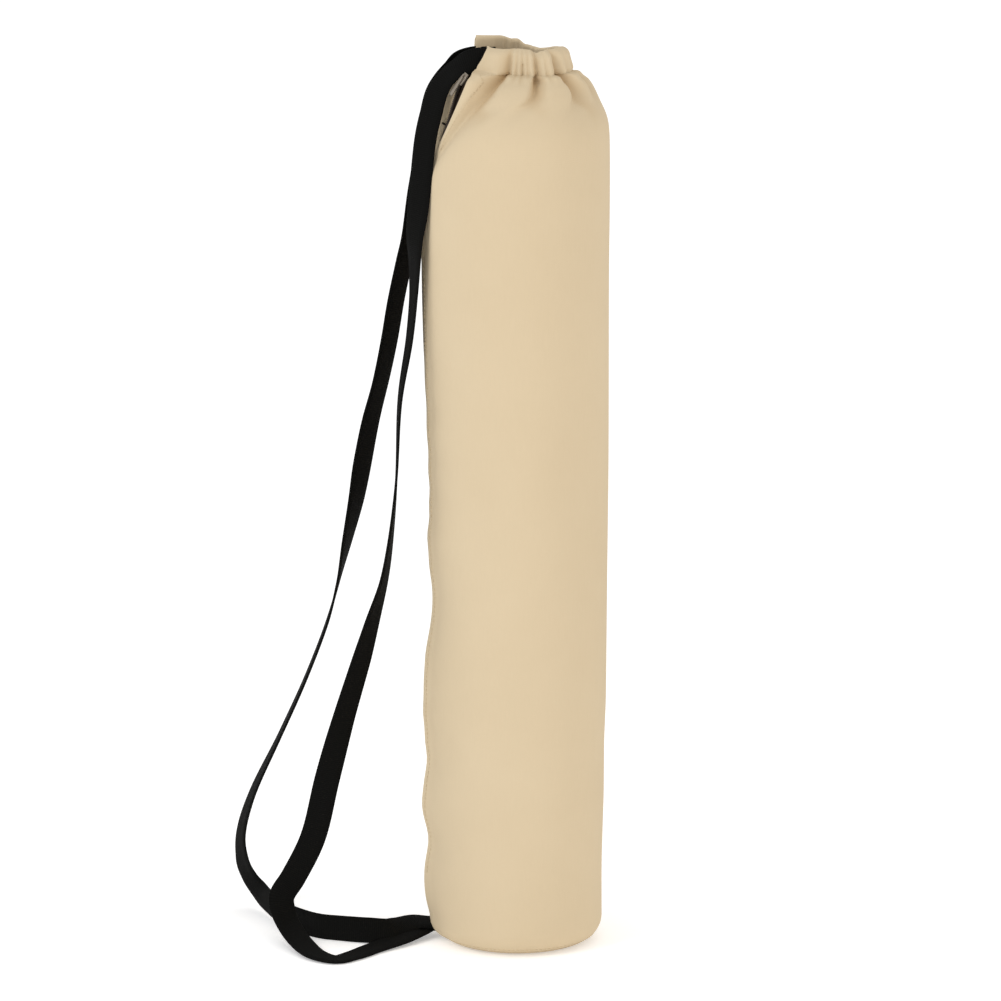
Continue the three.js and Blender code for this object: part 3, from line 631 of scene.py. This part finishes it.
# Base. A round of the same canvas, its edge turned up inside and sewn through the foot of the tube.
seam_radius = body_radius * base_share - edge_radius * (1 - math.cos(math.radians(seam_turn)))
flat_radius = body_radius * base_share - edge_radius
base_profile = [(flat_radius * 0.5, 0.0), (flat_radius, 0.0)]
for turn in (82, 74, 66, 60):
    base_profile.append((
        flat_radius + edge_radius * math.cos(math.radians(turn)),
        edge_radius * (1 - math.sin(math.radians(turn))),
    ))
base_profile.append((seam_radius - 0.6, 4.6))
base_profile.append((seam_radius - 0.7, 7.6))
base_points = [(0.0, 0.0, 0.0)]
base_faces = []
base_columns = 128
for radius, height in base_profile:
    for k in range(base_columns):
        angle = 2 * math.pi * k / base_columns
        base_points.append((radius * math.cos(angle), radius * math.sin(angle), height))
for k in range(base_columns):
    base_faces.append((0, 1 + (k + 1) % base_columns, 1 + k))
for ring in range(len(base_profile) - 1):
    for k in range(base_columns):
        a, b = 1 + ring * base_columns + k, 1 + ring * base_columns + (k + 1) % base_columns
        base_faces.append((a, b, b + base_columns, a + base_columns))
canvas_base = mesh_object("canvas_base", base_points, base_faces)
give_wall(canvas_base)
base_canvas = new_material("base_canvas", 0.92, Specular_IOR_Level=0.2)
base_solid = coordinates(base_canvas)
# The base is coloured a little darker than the body, and darker again in random spots.
base_spot_share = (noise(base_solid, 30.0) - 0.3) * 0.5
base_pale, base_deep, base_spot_colour = (0.6, 0.49, 0.335), (0.55, 0.445, 0.3), (0.42, 0.34, 0.24)
dress_canvas(base_canvas, base_solid, base_solid, base_pale, base_deep, base_spot_colour, base_spot_share)
canvas_base.data.materials.append(base_canvas)
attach(canvas_base, "root")
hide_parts("base_panel")

# Strap. One length of black cotton webbing, 20 mm wide, drawn through the casing. Both ends hang down
# the left side, come back along the floor and are sewn into the seam of the base.
strap_thickness = 2.0
strap_ease = 0.3
casing_drop = 4.5
end_turn = 177.0
end_tilt = 12.0
end_height = 7.9
# x and y in shares of the body radius, z in shares of the shoulder height and, above 1, of the
# gather's rise, then the turn and the lift of the webbing's width
front_strand = [
    (-0.343, -0.22, 2.11, 150, 75), (-0.529, -0.22, 2.08, 125, 50), (-0.67, -0.21, 1.96, 115, 28),
    (-0.778, -0.196, 1.8, 120, 22), (-0.872, -0.215, 1.57, 138, 12), (-0.938, -0.246, 1.24, 146, 3),
    (-1.005, -0.264, 0.985, 146, 0), (-1.052, -0.279, 0.942, 145, 0), (-1.09, -0.286, 0.9, 142, 0),
    (-1.129, -0.257, 0.8646, 130, 0), (-1.132, -0.236, 0.835, 116, 0), (-1.146, -0.2, 0.79, 106, 0),
    (-1.19, -0.186, 0.74, 103, 0), (-1.296, -0.171, 0.6665, 97, 0), (-1.34, -0.143, 0.568, 90, 0),
    (-1.406, -0.121, 0.494, 80, 0), (-1.479, -0.107, 0.4446, 72, 0), (-1.606, -0.093, 0.395, 55, 0),
    (-1.733, -0.079, 0.346, 40, 0), (-1.937, -0.064, 0.272, 28, 0), (-2.12, -0.064, 0.198, 8, 0),
    (-2.286, -0.064, 0.124, 0, 0), (-2.507, -0.064, 0.075, 2, 0), (-2.636, -0.08, 0.0515, 5, -6),
    (-2.619, -0.129, 0.0346, 12, -4), (-2.541, -0.3, 0.0206, 20, 0), (-2.409, -0.571, 0.0094, 26, 2),
    (-2.231, -0.886, 0.0037, 41, 0), (-2.02, -1.02, 0.0019, 92, 0), (-1.833, -0.871, 0.0019, 136, 0),
    (-1.611, -0.6, 0.0027, 135, 2), (-1.3, -0.3, 0.006, 130, 6), (-1.13, -0.1, 0.0093, 118, 10),
]
back_strand = [
    (-0.471, 0.107, 2.06, 215, 70), (-0.62, 0.129, 2.04, 235, 42), (-0.73, 0.143, 1.9, 243, 28),
    (-0.83, 0.164, 1.72, 237, 18), (-0.91, 0.179, 1.48, 228, 8), (-0.972, 0.186, 1.1, 227, 0),
    (-1.035, 0.186, 0.969, 229, 0), (-1.075, 0.186, 0.938, 229, 0), (-1.121, 0.186, 0.9077, 229, 0),
    (-1.184, 0.193, 0.857, 229, 0), (-1.243, 0.2, 0.8288, 229, 0), (-1.34, 0.229, 0.779, 229, 0),
    (-1.417, 0.271, 0.729, 229, 0), (-1.511, 0.314, 0.679, 230, 0), (-1.627, 0.357, 0.629, 226, 0),
    (-1.716, 0.4, 0.579, 224, 0), (-1.794, 0.443, 0.5288, 232, 0), (-1.893, 0.486, 0.4788, 247, 0),
    (-1.993, 0.529, 0.4288, 264, 0), (-2.114, 0.586, 0.3783, 270, 0), (-2.37, 0.671, 0.3028, 271, 0),
    (-2.674, 0.771, 0.227, 273, 0), (-2.99, 0.886, 0.1506, 281, 0), (-3.117, 1, 0.0988, 289, 0),
    (-3.106, 1.086, 0.0648, 300, 5), (-3.039, 1.171, 0.0406, 306, 25), (-2.94, 1.143, 0.0248, 306, 50),
    (-2.807, 0.857, 0.0175, 306, 72), (-2.651, 0.443, 0.0162, 300, 84), (-2.463, 0.129, 0.0162, 90, 88),
    (-2.209, -0.129, 0.0162, 90, 88), (-1.966, -0.221, 0.0162, 90, 84), (-1.686, -0.279, 0.0157, 90, 70),
    (-1.434, -0.243, 0.0142, 95, 50), (-1.3, -0.114, 0.0145, 100, 32), (-1.15, 0.03, 0.0165, 105, 18),
]


def width_direction(turn, lift):
    turn, lift = math.radians(turn), math.radians(lift)
    return np.array([math.cos(lift) * math.cos(turn), math.cos(lift) * math.sin(turn), math.sin(lift)])


def strand_keys(strand):
    keys = []
    for x, y, z, turn, lift in strand:
        height = shoulder_height * min(z, 1) + gather_rise * max(z - 1, 0)
        keys.append((np.array([x * body_radius, y * body_radius, height]), width_direction(turn, lift)))
    return keys


def entry_keys(level):
    """Keys of a strap's end at the seam of the base, before it and in it; level 1 lies on level 0."""
    tilt = math.radians(end_tilt)
    stack = np.array([0, -math.sin(tilt), math.cos(tilt)]) * level * (strap_thickness + strap_ease)
    entry = math.radians(end_turn)
    keys = []
    for out in (12, -9):
        radius = seam_radius + out
        keys.append((
            np.array([radius * math.cos(entry), radius * math.sin(entry), end_height]) + stack,
            width_direction(90, end_tilt),
        ))
    return keys


def ring_point(turn, share):
    """Where the strap runs in the casing: share is 0 on its lower edge and 1 on its upper one."""
    angle = math.radians(turn)
    inset = ring_inset + casing_lean * share
    depth = (neck_half_depth - inset) * (1 + neck_taper * math.cos(angle))
    sag = neck_sag * float(nearness(turn, neck_sag_turn, neck_sag_reach)) + casing_drop
    return np.array([
        neck_shift + (neck_half_width - inset) * math.cos(angle),
        depth * math.sin(angle),
        ring_bottom + strap_width * share - sag,
    ])


ring_keys = []
for turn in np.linspace(236.0, 518.0, 21):
    across = ring_point(turn, 1) - ring_point(turn, 0)
    ring_keys.append((ring_point(turn, 0.5), across / np.linalg.norm(across)))
strap_keys = [
    *reversed(strand_keys(front_strand) + entry_keys(0)),
    *ring_keys,
    *strand_keys(back_strand),
    *entry_keys(1),
]


def even_curve(keys, shares):
    """A smooth curve through keys, with knots spaced by the root of the distance between them."""
    keys = np.array(keys, float)
    before = np.concatenate([[2 * keys[0] - keys[1]], keys, [2 * keys[-1] - keys[-2]]])
    place = np.asarray(shares) * (len(keys) - 1)
    low = np.clip(np.floor(place).astype(int), 0, len(keys) - 2)
    part = (place - low)[:, None]
    p0, p1, p2, p3 = (before[low + k] for k in range(4))
    d0, d1, d2 = (
        np.maximum(np.linalg.norm(b - a, axis=1), 1e-6)[:, None] ** 0.5
        for a, b in ((p0, p1), (p1, p2), (p2, p3))
    )
    t1 = ((p1 - p0) / d0 - (p2 - p0) / (d0 + d1) + (p2 - p1) / d1) * d1
    t2 = ((p2 - p1) / d1 - (p3 - p1) / (d1 + d2) + (p3 - p2) / d2) * d1
    return (
        p1 + t1 * part + (3 * (p2 - p1) - 2 * t1 - t2) * part**2 + (2 * (p1 - p2) + t1 + t2) * part**3
    )


rings_per_key = 8
strap_shares = np.linspace(0, 1, (len(strap_keys) - 1) * rings_per_key + 1)
strap_middle = even_curve([point for point, _ in strap_keys], strap_shares)
strap_across = even_curve([across for _, across in strap_keys], strap_shares)
strap_along = np.gradient(strap_middle, axis=0)
strap_along /= np.linalg.norm(strap_along, axis=1)[:, None]
strap_across -= (strap_across * strap_along).sum(axis=1)[:, None] * strap_along
strap_across /= np.linalg.norm(strap_across, axis=1)[:, None]
strap_out = np.cross(strap_along, strap_across)
# across the webbing as shares of half its width, and half its thickness there: thinner at its edges
webbing_half = [(-1, 0.35), (-0.94, 0.8), (-0.84, 0.72), (-0.8, 1), (-0.4, 1)]
webbing_section = webbing_half + [(0, 1)] + [(-side, thick) for side, thick in reversed(webbing_half)]
section = webbing_section + [(side, -thick) for side, thick in reversed(webbing_section)]


def tube_faces(first, rings, size):
    """Faces of a closed tube of rings of points, with a cap at both ends."""
    faces = [
        (ring + j, ring + (j + 1) % size, ring + (j + 1) % size + size, ring + j + size)
        for ring in range(first, first + (rings - 1) * size, size)
        for j in range(size)
    ]
    faces.append(tuple(first + j for j in reversed(range(size))))
    faces.append(tuple(first + (rings - 1) * size + j for j in range(size)))
    return faces


strap_points = []
strap_uv = []
strap_lengths = np.concatenate([[0], np.cumsum(np.linalg.norm(np.diff(strap_middle, axis=0), axis=1))])
for k in range(len(strap_middle)):
    for side, thick in section:
        over = strap_across[k] * side * strap_width / 2
        strap_points.append(strap_middle[k] + over + strap_out[k] * thick * strap_thickness / 2)
        strap_uv.append((side * strap_width / 2 * millimetre, strap_lengths[k] * millimetre))
strap_faces = tube_faces(0, len(strap_middle), len(section))
webbing_strap = mesh_object("webbing_strap", strap_points, strap_faces)


def face_outward(piece):
    shape = bmesh.new()
    shape.from_mesh(piece.data)
    bmesh.ops.recalc_face_normals(shape, faces=shape.faces)
    shape.to_mesh(piece.data)
    shape.free()


face_outward(webbing_strap)
lay_flat(webbing_strap, strap_uv)
black_webbing = new_material("black_webbing", 0.85, Specular_IOR_Level=0.08)
strap_coords = coordinates(black_webbing, "UV")
ribs = bands(strap_coords, "Y", 200.0)
cords = bands(strap_coords, "X", 320.0)
fuzz = noise(strap_coords, 900.0)
deep_black, worn_black = (0.0014, 0.0014, 0.0012), (0.0055, 0.0055, 0.0048)
mix_colour(ribs * 0.5 + fuzz * 0.4, deep_black, worn_black).feed("Base Color")
bump(ribs + cords * 0.6 + fuzz * 0.3, 0.35, 0.0004)
webbing_strap.data.materials.append(black_webbing)
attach(webbing_strap, "root")
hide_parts("strap")

# Zip. Two dark brown woven tapes behind the slit, and on their edges a closed row of moulded coil teeth
# that mesh in the middle. The tapes are sewn to the canvas on both sides.
zip_first_place = 5.0
zip_last_place = first_shoulder + 3.0
zip_sample = np.linspace(zip_first_place, zip_last_place, 900)


def canvas_frame(turns, places):
    """Points on the canvas's outer face with their directions along the zip, across it and outward."""
    points = canvas_point(turns, places)
    along = np.gradient(points, axis=0)
    along /= np.linalg.norm(along, axis=1)[:, None]
    side = canvas_point(turns + 0.4, places) - canvas_point(turns - 0.4, places)
    side -= (side * along).sum(axis=1)[:, None] * along
    side /= np.linalg.norm(side, axis=1)[:, None]
    return points, along, side, np.cross(side, along)


zip_points, zip_along, zip_side_way, zip_out = canvas_frame(zip_path_turn(zip_sample), zip_sample)
zip_lengths = np.concatenate([[0], np.cumsum(np.linalg.norm(np.diff(zip_points, axis=0), axis=1))])


def zip_frame(distance):
    """Points of the zip's middle line at distances from its foot, with their three directions."""
    return [
        np.stack([np.interp(distance, zip_lengths, field[:, k]) for k in range(3)], axis=-1)
        for field in (zip_points, zip_along, zip_side_way, zip_out)
    ]


# distance from the middle line and depth under the canvas's outer face
tape_section = [(-10, -2.3), (-9.2, -2.25), (-3.2, -2.2), (-0.4, -1.9), (-0.05, -1.9),
                (-0.05, -2.7), (-0.4, -2.7), (-3.2, -3.0), (-9.2, -3.05), (-10, -3.0)]
tape_points = []
tape_faces = []
tape_uv = []
distances = np.arange(0, zip_lengths[-1], 4.0)
origin, _, side, out = zip_frame(distances)
for sign in (1, -1):
    tape_faces.extend(tube_faces(len(tape_points), len(distances), len(tape_section)))
    for k in range(len(distances)):
        for across, depth in tape_section:
            tape_points.append(origin[k] + side[k] * across * sign + out[k] * depth)
            tape_uv.append((across * sign * millimetre, distances[k] * millimetre))
woven_tape = mesh_object("woven_tape", tape_points, tape_faces)
face_outward(woven_tape)
lay_flat(woven_tape, tape_uv)
brown_tape = new_material("brown_tape", 0.9, Specular_IOR_Level=0.15)
tape_coords = coordinates(brown_tape, "UV")
tape_warp, tape_weft = woven(tape_coords, 700.0)
mix_colour(tape_warp * tape_weft, (0.016, 0.009, 0.005), (0.045, 0.028, 0.017)).feed("Base Color")
bump(tape_warp + tape_weft, 0.3, 0.0002)
woven_tape.data.materials.append(brown_tape)
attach(woven_tape, "root")
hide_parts("zip_tape")

# One tooth is a flattened loop of the coil, modelled once and set along both tapes.
bpy.ops.object.select_all(action="DESELECT")
bpy.ops.mesh.primitive_torus_add(
    major_segments=8,
    minor_segments=5,
    major_radius=1.0,
    minor_radius=0.3,
    rotation=(math.pi / 2, 0, 0),
)
tooth = bpy.context.object
bpy.ops.object.mode_set(mode="EDIT")
bpy.ops.mesh.select_all(action="SELECT")
bpy.ops.transform.resize(value=(1.12, 1.3, 0.72))
bpy.ops.object.mode_set(mode="OBJECT")
bpy.ops.object.transform_apply(location=True, rotation=True, scale=True)


def shape_of(piece):
    """The points and faces of a small shape that is set down many times; its own object goes."""
    points = np.array([vertex.co[:] for vertex in piece.data.vertices])
    faces = [tuple(polygon.vertices) for polygon in piece.data.polygons]
    bpy.data.objects.remove(piece)
    return points, faces


def set_many(name, shape, origins, axes):
    """Copies of a shape, one at each origin, with its x, y and z along three directions there."""
    points, faces = shape
    placed_points = []
    placed_faces = []
    for k in range(len(origins)):
        placed_faces.extend(tuple(corner + k * len(points) for corner in face) for face in faces)
        placed_points.extend(origins[k] + points @ np.stack([axis[k] for axis in axes]))
    return mesh_object(name, placed_points, placed_faces)


tooth_pitch = 1.5
tooth_reach = 0.86
tooth_depth = 0.1
tooth_shape = shape_of(tooth)
stations = np.arange(2.0, zip_lengths[-1] - 4.0, tooth_pitch / 2)
origin, along, side, out = zip_frame(stations)
leaning = np.where(np.arange(len(stations)) % 2 == 0, 1.0, -1.0)[:, None]
tooth_origins = origin + side * leaning * tooth_reach - out * tooth_depth
coil_teeth = set_many("coil_teeth", tooth_shape, tooth_origins, (side * leaning, along * leaning, out))
face_outward(coil_teeth)
coil_plastic = new_material("coil_plastic", 0.45, Specular_IOR_Level=0.4)
coil_solid = coordinates(coil_plastic)
coil_tone = noise(coil_solid, 160.0, 3.0)
mix_colour(coil_tone * 1.0, (0.018, 0.010, 0.006), (0.05, 0.032, 0.02)).feed("Base Color")
(coil_tone * 0.3 + 0.3).feed("Roughness")
coil_teeth.data.materials.append(coil_plastic)
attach(coil_teeth, "root")
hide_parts("zip_coil")

# Slider. Cast grey metal: a shield-shaped plate over the teeth with a bridge on it, and a long flat tab
# that hangs from the bridge by its eye.
slider_place = Vector((-41.36, -23.01, 685.7)) * millimetre
slider_up = Vector((0.554, 0.089, 0.828)).normalized()
slider_out = Vector((-0.741, -0.400, 0.539))
slider_side = slider_up.cross(slider_out).normalized()
slider_out = slider_side.cross(slider_up)
slider_turn = Matrix((slider_side, slider_up, slider_out)).transposed().to_4x4()


def metal_block(name, size, place):
    """A block in millimetres in the slider's own frame: x across the zip, y up it, z outward."""
    bpy.ops.object.select_all(action="DESELECT")
    bpy.ops.mesh.primitive_cube_add(size=1, location=place, scale=size)
    block = bpy.context.object
    block.name = name
    bpy.ops.object.transform_apply(location=True, rotation=True, scale=True)
    return block


def pick_faces(block, wanted):
    bpy.ops.object.mode_set(mode="EDIT")
    bpy.ops.mesh.select_mode(type="FACE")
    bpy.ops.mesh.select_all(action="DESELECT")
    bpy.ops.object.mode_set(mode="OBJECT")
    for polygon in block.data.polygons:
        polygon.select = bool(wanted(polygon))
    bpy.ops.object.mode_set(mode="EDIT")


def cut_evenly(block, cuts):
    """Cuts across every side of a block, so that its points can be moved."""
    bpy.context.view_layer.objects.active = block
    bpy.ops.object.mode_set(mode="EDIT")
    bpy.ops.mesh.select_all(action="SELECT")
    bpy.ops.mesh.subdivide(number_cuts=cuts)
    bpy.ops.object.mode_set(mode="OBJECT")


def finish_metal(block, radius):
    """Round the edges and set the piece down at its place on the zip."""
    soft = block.modifiers.new("soft", "BEVEL")
    soft.width = radius
    soft.segments = 3
    soft.limit_method = "ANGLE"
    bpy.ops.object.modifier_apply(modifier="soft")
    block.data.transform(Matrix.Translation(slider_place) @ slider_turn @ Matrix.Scale(millimetre, 4))
    block.data.update()
    block.select_set(True)
    bpy.context.view_layer.objects.active = block
    bpy.ops.object.shade_smooth_by_angle(angle=math.radians(40))


plate_wide = 8.5
plate_long = 10.0
plate_thick = 1.3
plate_crown = 0.35
slider_body = metal_block(
    "slider_body", (plate_wide, plate_long, plate_thick), (0, 0, plate_thick / 2))
cut_evenly(slider_body, 5)
for vertex in slider_body.data.vertices:
    rise = vertex.co.y / (plate_long / 2)
    vertex.co.x *= 1 - 0.3 * max(0.0, -rise) ** 1.5 - 0.16 * max(0.0, rise - 0.2) ** 1.5
    if vertex.co.z > plate_thick * 0.46:
        vertex.co.z += plate_crown * (1 - (vertex.co.x / 4.6) ** 2) * (1 - rise * rise * 0.8)
finish_metal(slider_body, 0.3)

bridge_long = 7.2
bridge_middle = 0.2
bridge_height = 2.5
foot_long = 1.4
slider_bridge = metal_block(
    "slider_bridge", (1.9, bridge_long, 0.8), (0, bridge_middle, bridge_height))
cut_evenly(slider_bridge, 4)
foot_start = bridge_long / 2 - foot_long
pick_faces(
    slider_bridge,
    lambda face: face.normal.z < -0.9 and abs(face.center.y - bridge_middle) > foot_start,
)
bpy.ops.mesh.extrude_region_move(TRANSFORM_OT_translate={"value": (0, 0, -1.0)})
bpy.ops.object.mode_set(mode="OBJECT")
for vertex in slider_bridge.data.vertices:
    if vertex.co.z > bridge_height - 0.5:
        vertex.co.z -= 0.05 * (vertex.co.y - bridge_middle) ** 2
finish_metal(slider_bridge, 0.22)

pull_wide = 4.6
pull_long = 16.5
pull_thick = 1.1
eye_top = -0.9
eye_foot = -2.9
eye_edge = 1.1
pull_tab = metal_block("pull_tab", (pull_wide, pull_long, pull_thick), (0, -7.2, 2.2))
bpy.ops.object.mode_set(mode="EDIT")
for level in (eye_foot, eye_top, 0.0, -11.5):
    bpy.ops.mesh.select_all(action="SELECT")
    bpy.ops.mesh.bisect(plane_co=(0, level, 0), plane_no=(0, 1, 0))
bpy.ops.object.mode_set(mode="OBJECT")
pick_faces(pull_tab, lambda face: abs(face.normal.z) > 0.9 and eye_foot < face.center.y < eye_top)
bpy.ops.mesh.inset(thickness=eye_edge)
bpy.ops.mesh.bridge_edge_loops()
bpy.ops.object.mode_set(mode="OBJECT")
for vertex in pull_tab.data.vertices:
    low_part = max(0.0, (-vertex.co.y - 2.5) / 13.0)
    vertex.co.x *= 0.86 + 0.18 * math.sin(min(low_part, 1.0) * math.pi * 0.62)
    vertex.co.z -= 0.35 * low_part
finish_metal(pull_tab, 0.25)

grey_metal = new_material("grey_metal", 0.42, Metallic=0.55, Specular_IOR_Level=0.5)
metal_solid = coordinates(grey_metal)
cloudy = noise(metal_solid, 350.0, 3.0)
scratches = noise(stretched(metal_solid, (4000.0, 4000.0, 300.0)), 1.0)
mix_colour(cloudy * 1.0, (0.2, 0.165, 0.125), (0.36, 0.31, 0.25)).feed("Base Color")
(cloudy * 0.25 + scratches * 0.2 + 0.2).feed("Roughness")
bump(scratches + cloudy * 0.5, 0.1, 0.0001)
for piece, node in ((slider_body, "zip_slider"), (slider_bridge, "zip_slider"), (pull_tab, "zip_pull")):
    piece.data.materials.append(grey_metal)
    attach(piece, "root")
    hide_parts(node)

# Sewing. Cream cotton thread holds the casing, the tapes and the base seam; dark brown thread bars the
# zip's foot and crosses the strip beside it.
bpy.ops.object.select_all(action="DESELECT")
bpy.ops.mesh.primitive_cylinder_add(
    vertices=6, radius=0.28, depth=1.0, rotation=(0, math.pi / 2, 0))
stitch = bpy.context.object
bpy.ops.object.transform_apply(location=True, rotation=True, scale=True)
bpy.ops.object.mode_set(mode="EDIT")
for cut in (0.3, -0.3):
    bpy.ops.mesh.select_all(action="SELECT")
    bpy.ops.mesh.bisect(plane_co=(cut, 0, 0), plane_no=(1, 0, 0))
bpy.ops.object.mode_set(mode="OBJECT")
for vertex in stitch.data.vertices:
    if abs(vertex.co.x) > 0.45:
        vertex.co.y *= 0.5
        vertex.co.z = vertex.co.z * 0.5 - 0.3
stitch_shape = shape_of(stitch)


def sew(name, points, outward, length, gap):
    """A row of stitches of thread along a line on the cloth."""
    distance = np.concatenate([[0], np.cumsum(np.linalg.norm(np.diff(points, axis=0), axis=1))])
    starts = np.arange(gap, distance[-1] - length, length + gap)

    def at(field, places):
        return np.stack([np.interp(places, distance, field[:, k]) for k in range(3)], axis=-1)

    near, far = at(points, starts), at(points, starts + length)
    along = far - near
    out = at(outward, starts + length / 2)
    out -= (out * along).sum(axis=1)[:, None] * along / (along * along).sum(axis=1)[:, None]
    out /= np.linalg.norm(out, axis=1)[:, None]
    side = np.cross(out, along / np.linalg.norm(along, axis=1)[:, None])
    return set_many(name, stitch_shape, (near + far) / 2 + out * 0.12, (along, side, out))


def line_on_canvas(turns, places, lift=0.0):
    """A line on the canvas's outer face, and its outward direction at each point."""
    points = canvas_point(turns, places, lift)
    side = canvas_point(turns + 0.4, places, lift) - canvas_point(turns - 0.4, places, lift)
    rise = canvas_point(turns, places + 0.03, lift) - canvas_point(turns, places - 0.03, lift)
    out = np.cross(side, rise)
    return points, out / np.linalg.norm(out, axis=1)[:, None]


def zip_degrees(places):
    """Degrees round the bag for each millimetre beside the zip."""
    across = canvas_point(zip_path_turn(places), places)[:, :2]
    return np.degrees(1 / np.hypot(*across.T))


def thread(name, roughness, light, dark):
    """Twisted cotton thread."""
    material = new_material(name, roughness, Specular_IOR_Level=0.2)
    twist = bands(coordinates(material), "DIAGONAL", 900.0)
    mix_colour(twist * 0.6, light, dark).feed("Base Color")
    bump(twist, 0.3, 0.0001)
    return material


line_points = 900
stitch_length = 2.6
strip_seam = slot_half + 3.2
flap_seam = 9.0
hem_place = first_casing - 0.3
hem_start = float(np.interp(hem_place, fine_places, edge_turns)) + 4
hem_turns = np.linspace(hem_start, vent_back_turn - 1, line_points)
hem_line = line_on_canvas(hem_turns, np.full(line_points, hem_place))
casing_stitches = sew("casing_stitches", *hem_line, 2.5, 1.0)
seam_turns = np.linspace(183, 535, 500)
seam_stitches = sew(
    "seam_stitches", *line_on_canvas(seam_turns, np.full(500, 0.9)), stitch_length, 1.0)
strip_places = np.linspace(5.2, strip_top_place - 0.4, line_points)
strip_turns = zip_path_turn(strip_places) - strip_seam * zip_degrees(strip_places)
strip_stitches = sew(
    "strip_stitches", *line_on_canvas(strip_turns, strip_places), stitch_length, 0.9)
flap_places = np.linspace(5.2, first_casing - 1.0, line_points)
flap_turns = np.interp(flap_places, fine_places, edge_turns) + flap_seam * zip_degrees(flap_places)
flap_line = line_on_canvas(flap_turns, flap_places, float(flap_lift(flap_seam, 1.0)) + 0.05)
flap_stitches = sew("flap_stitches", *flap_line, stitch_length, 0.9)
cream_thread = thread("cream_thread", 0.85, (0.62, 0.51, 0.34), (0.46, 0.36, 0.22))
for piece in (casing_stitches, seam_stitches, strip_stitches, flap_stitches):
    piece.data.materials.append(cream_thread)
    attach(piece, "root")

brown_thread = thread("brown_thread", 0.8, (0.03, 0.02, 0.012), (0.07, 0.05, 0.03))


tack_height = 1.3
row_step = 0.05


def bar_tack(name, place, from_side, to_side, turns_of_thread):
    """A short bar sewn back and forth across the zip, its sides in millimetres from the middle."""
    to_degrees = math.degrees(1 / math.hypot(*canvas_point(zip_path_turn(place), place)[:2]))
    sides = np.linspace(from_side, to_side, turns_of_thread)
    turns = float(zip_path_turn(place)) + sides * to_degrees
    zigzag = np.arange(turns_of_thread) % 2
    apart = canvas_point(turns[0], place + row_step) - canvas_point(turns[0], place - row_step)
    rise = float(np.linalg.norm(apart)) / (2 * row_step)
    points, out = line_on_canvas(turns, place + zigzag * tack_height / rise)
    middle, along = (points[:-1] + points[1:]) / 2, points[1:] - points[:-1]
    normal = (out[:-1] + out[1:]) / 2
    side = np.cross(normal, along / np.linalg.norm(along, axis=1)[:, None])
    piece = set_many(name, stitch_shape, middle + normal * 0.15, (along * 1.15, side, normal))
    piece.data.materials.append(brown_thread)
    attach(piece, "root")
    return piece


bar_tack("strip_tack", first_shoulder + 0.97, -slot_half - 9.0, -slot_half - 0.4, 22)
bar_tack("lower_tack", 5.06, -slot_half - 2.5, slot_half + 1.0, 16)
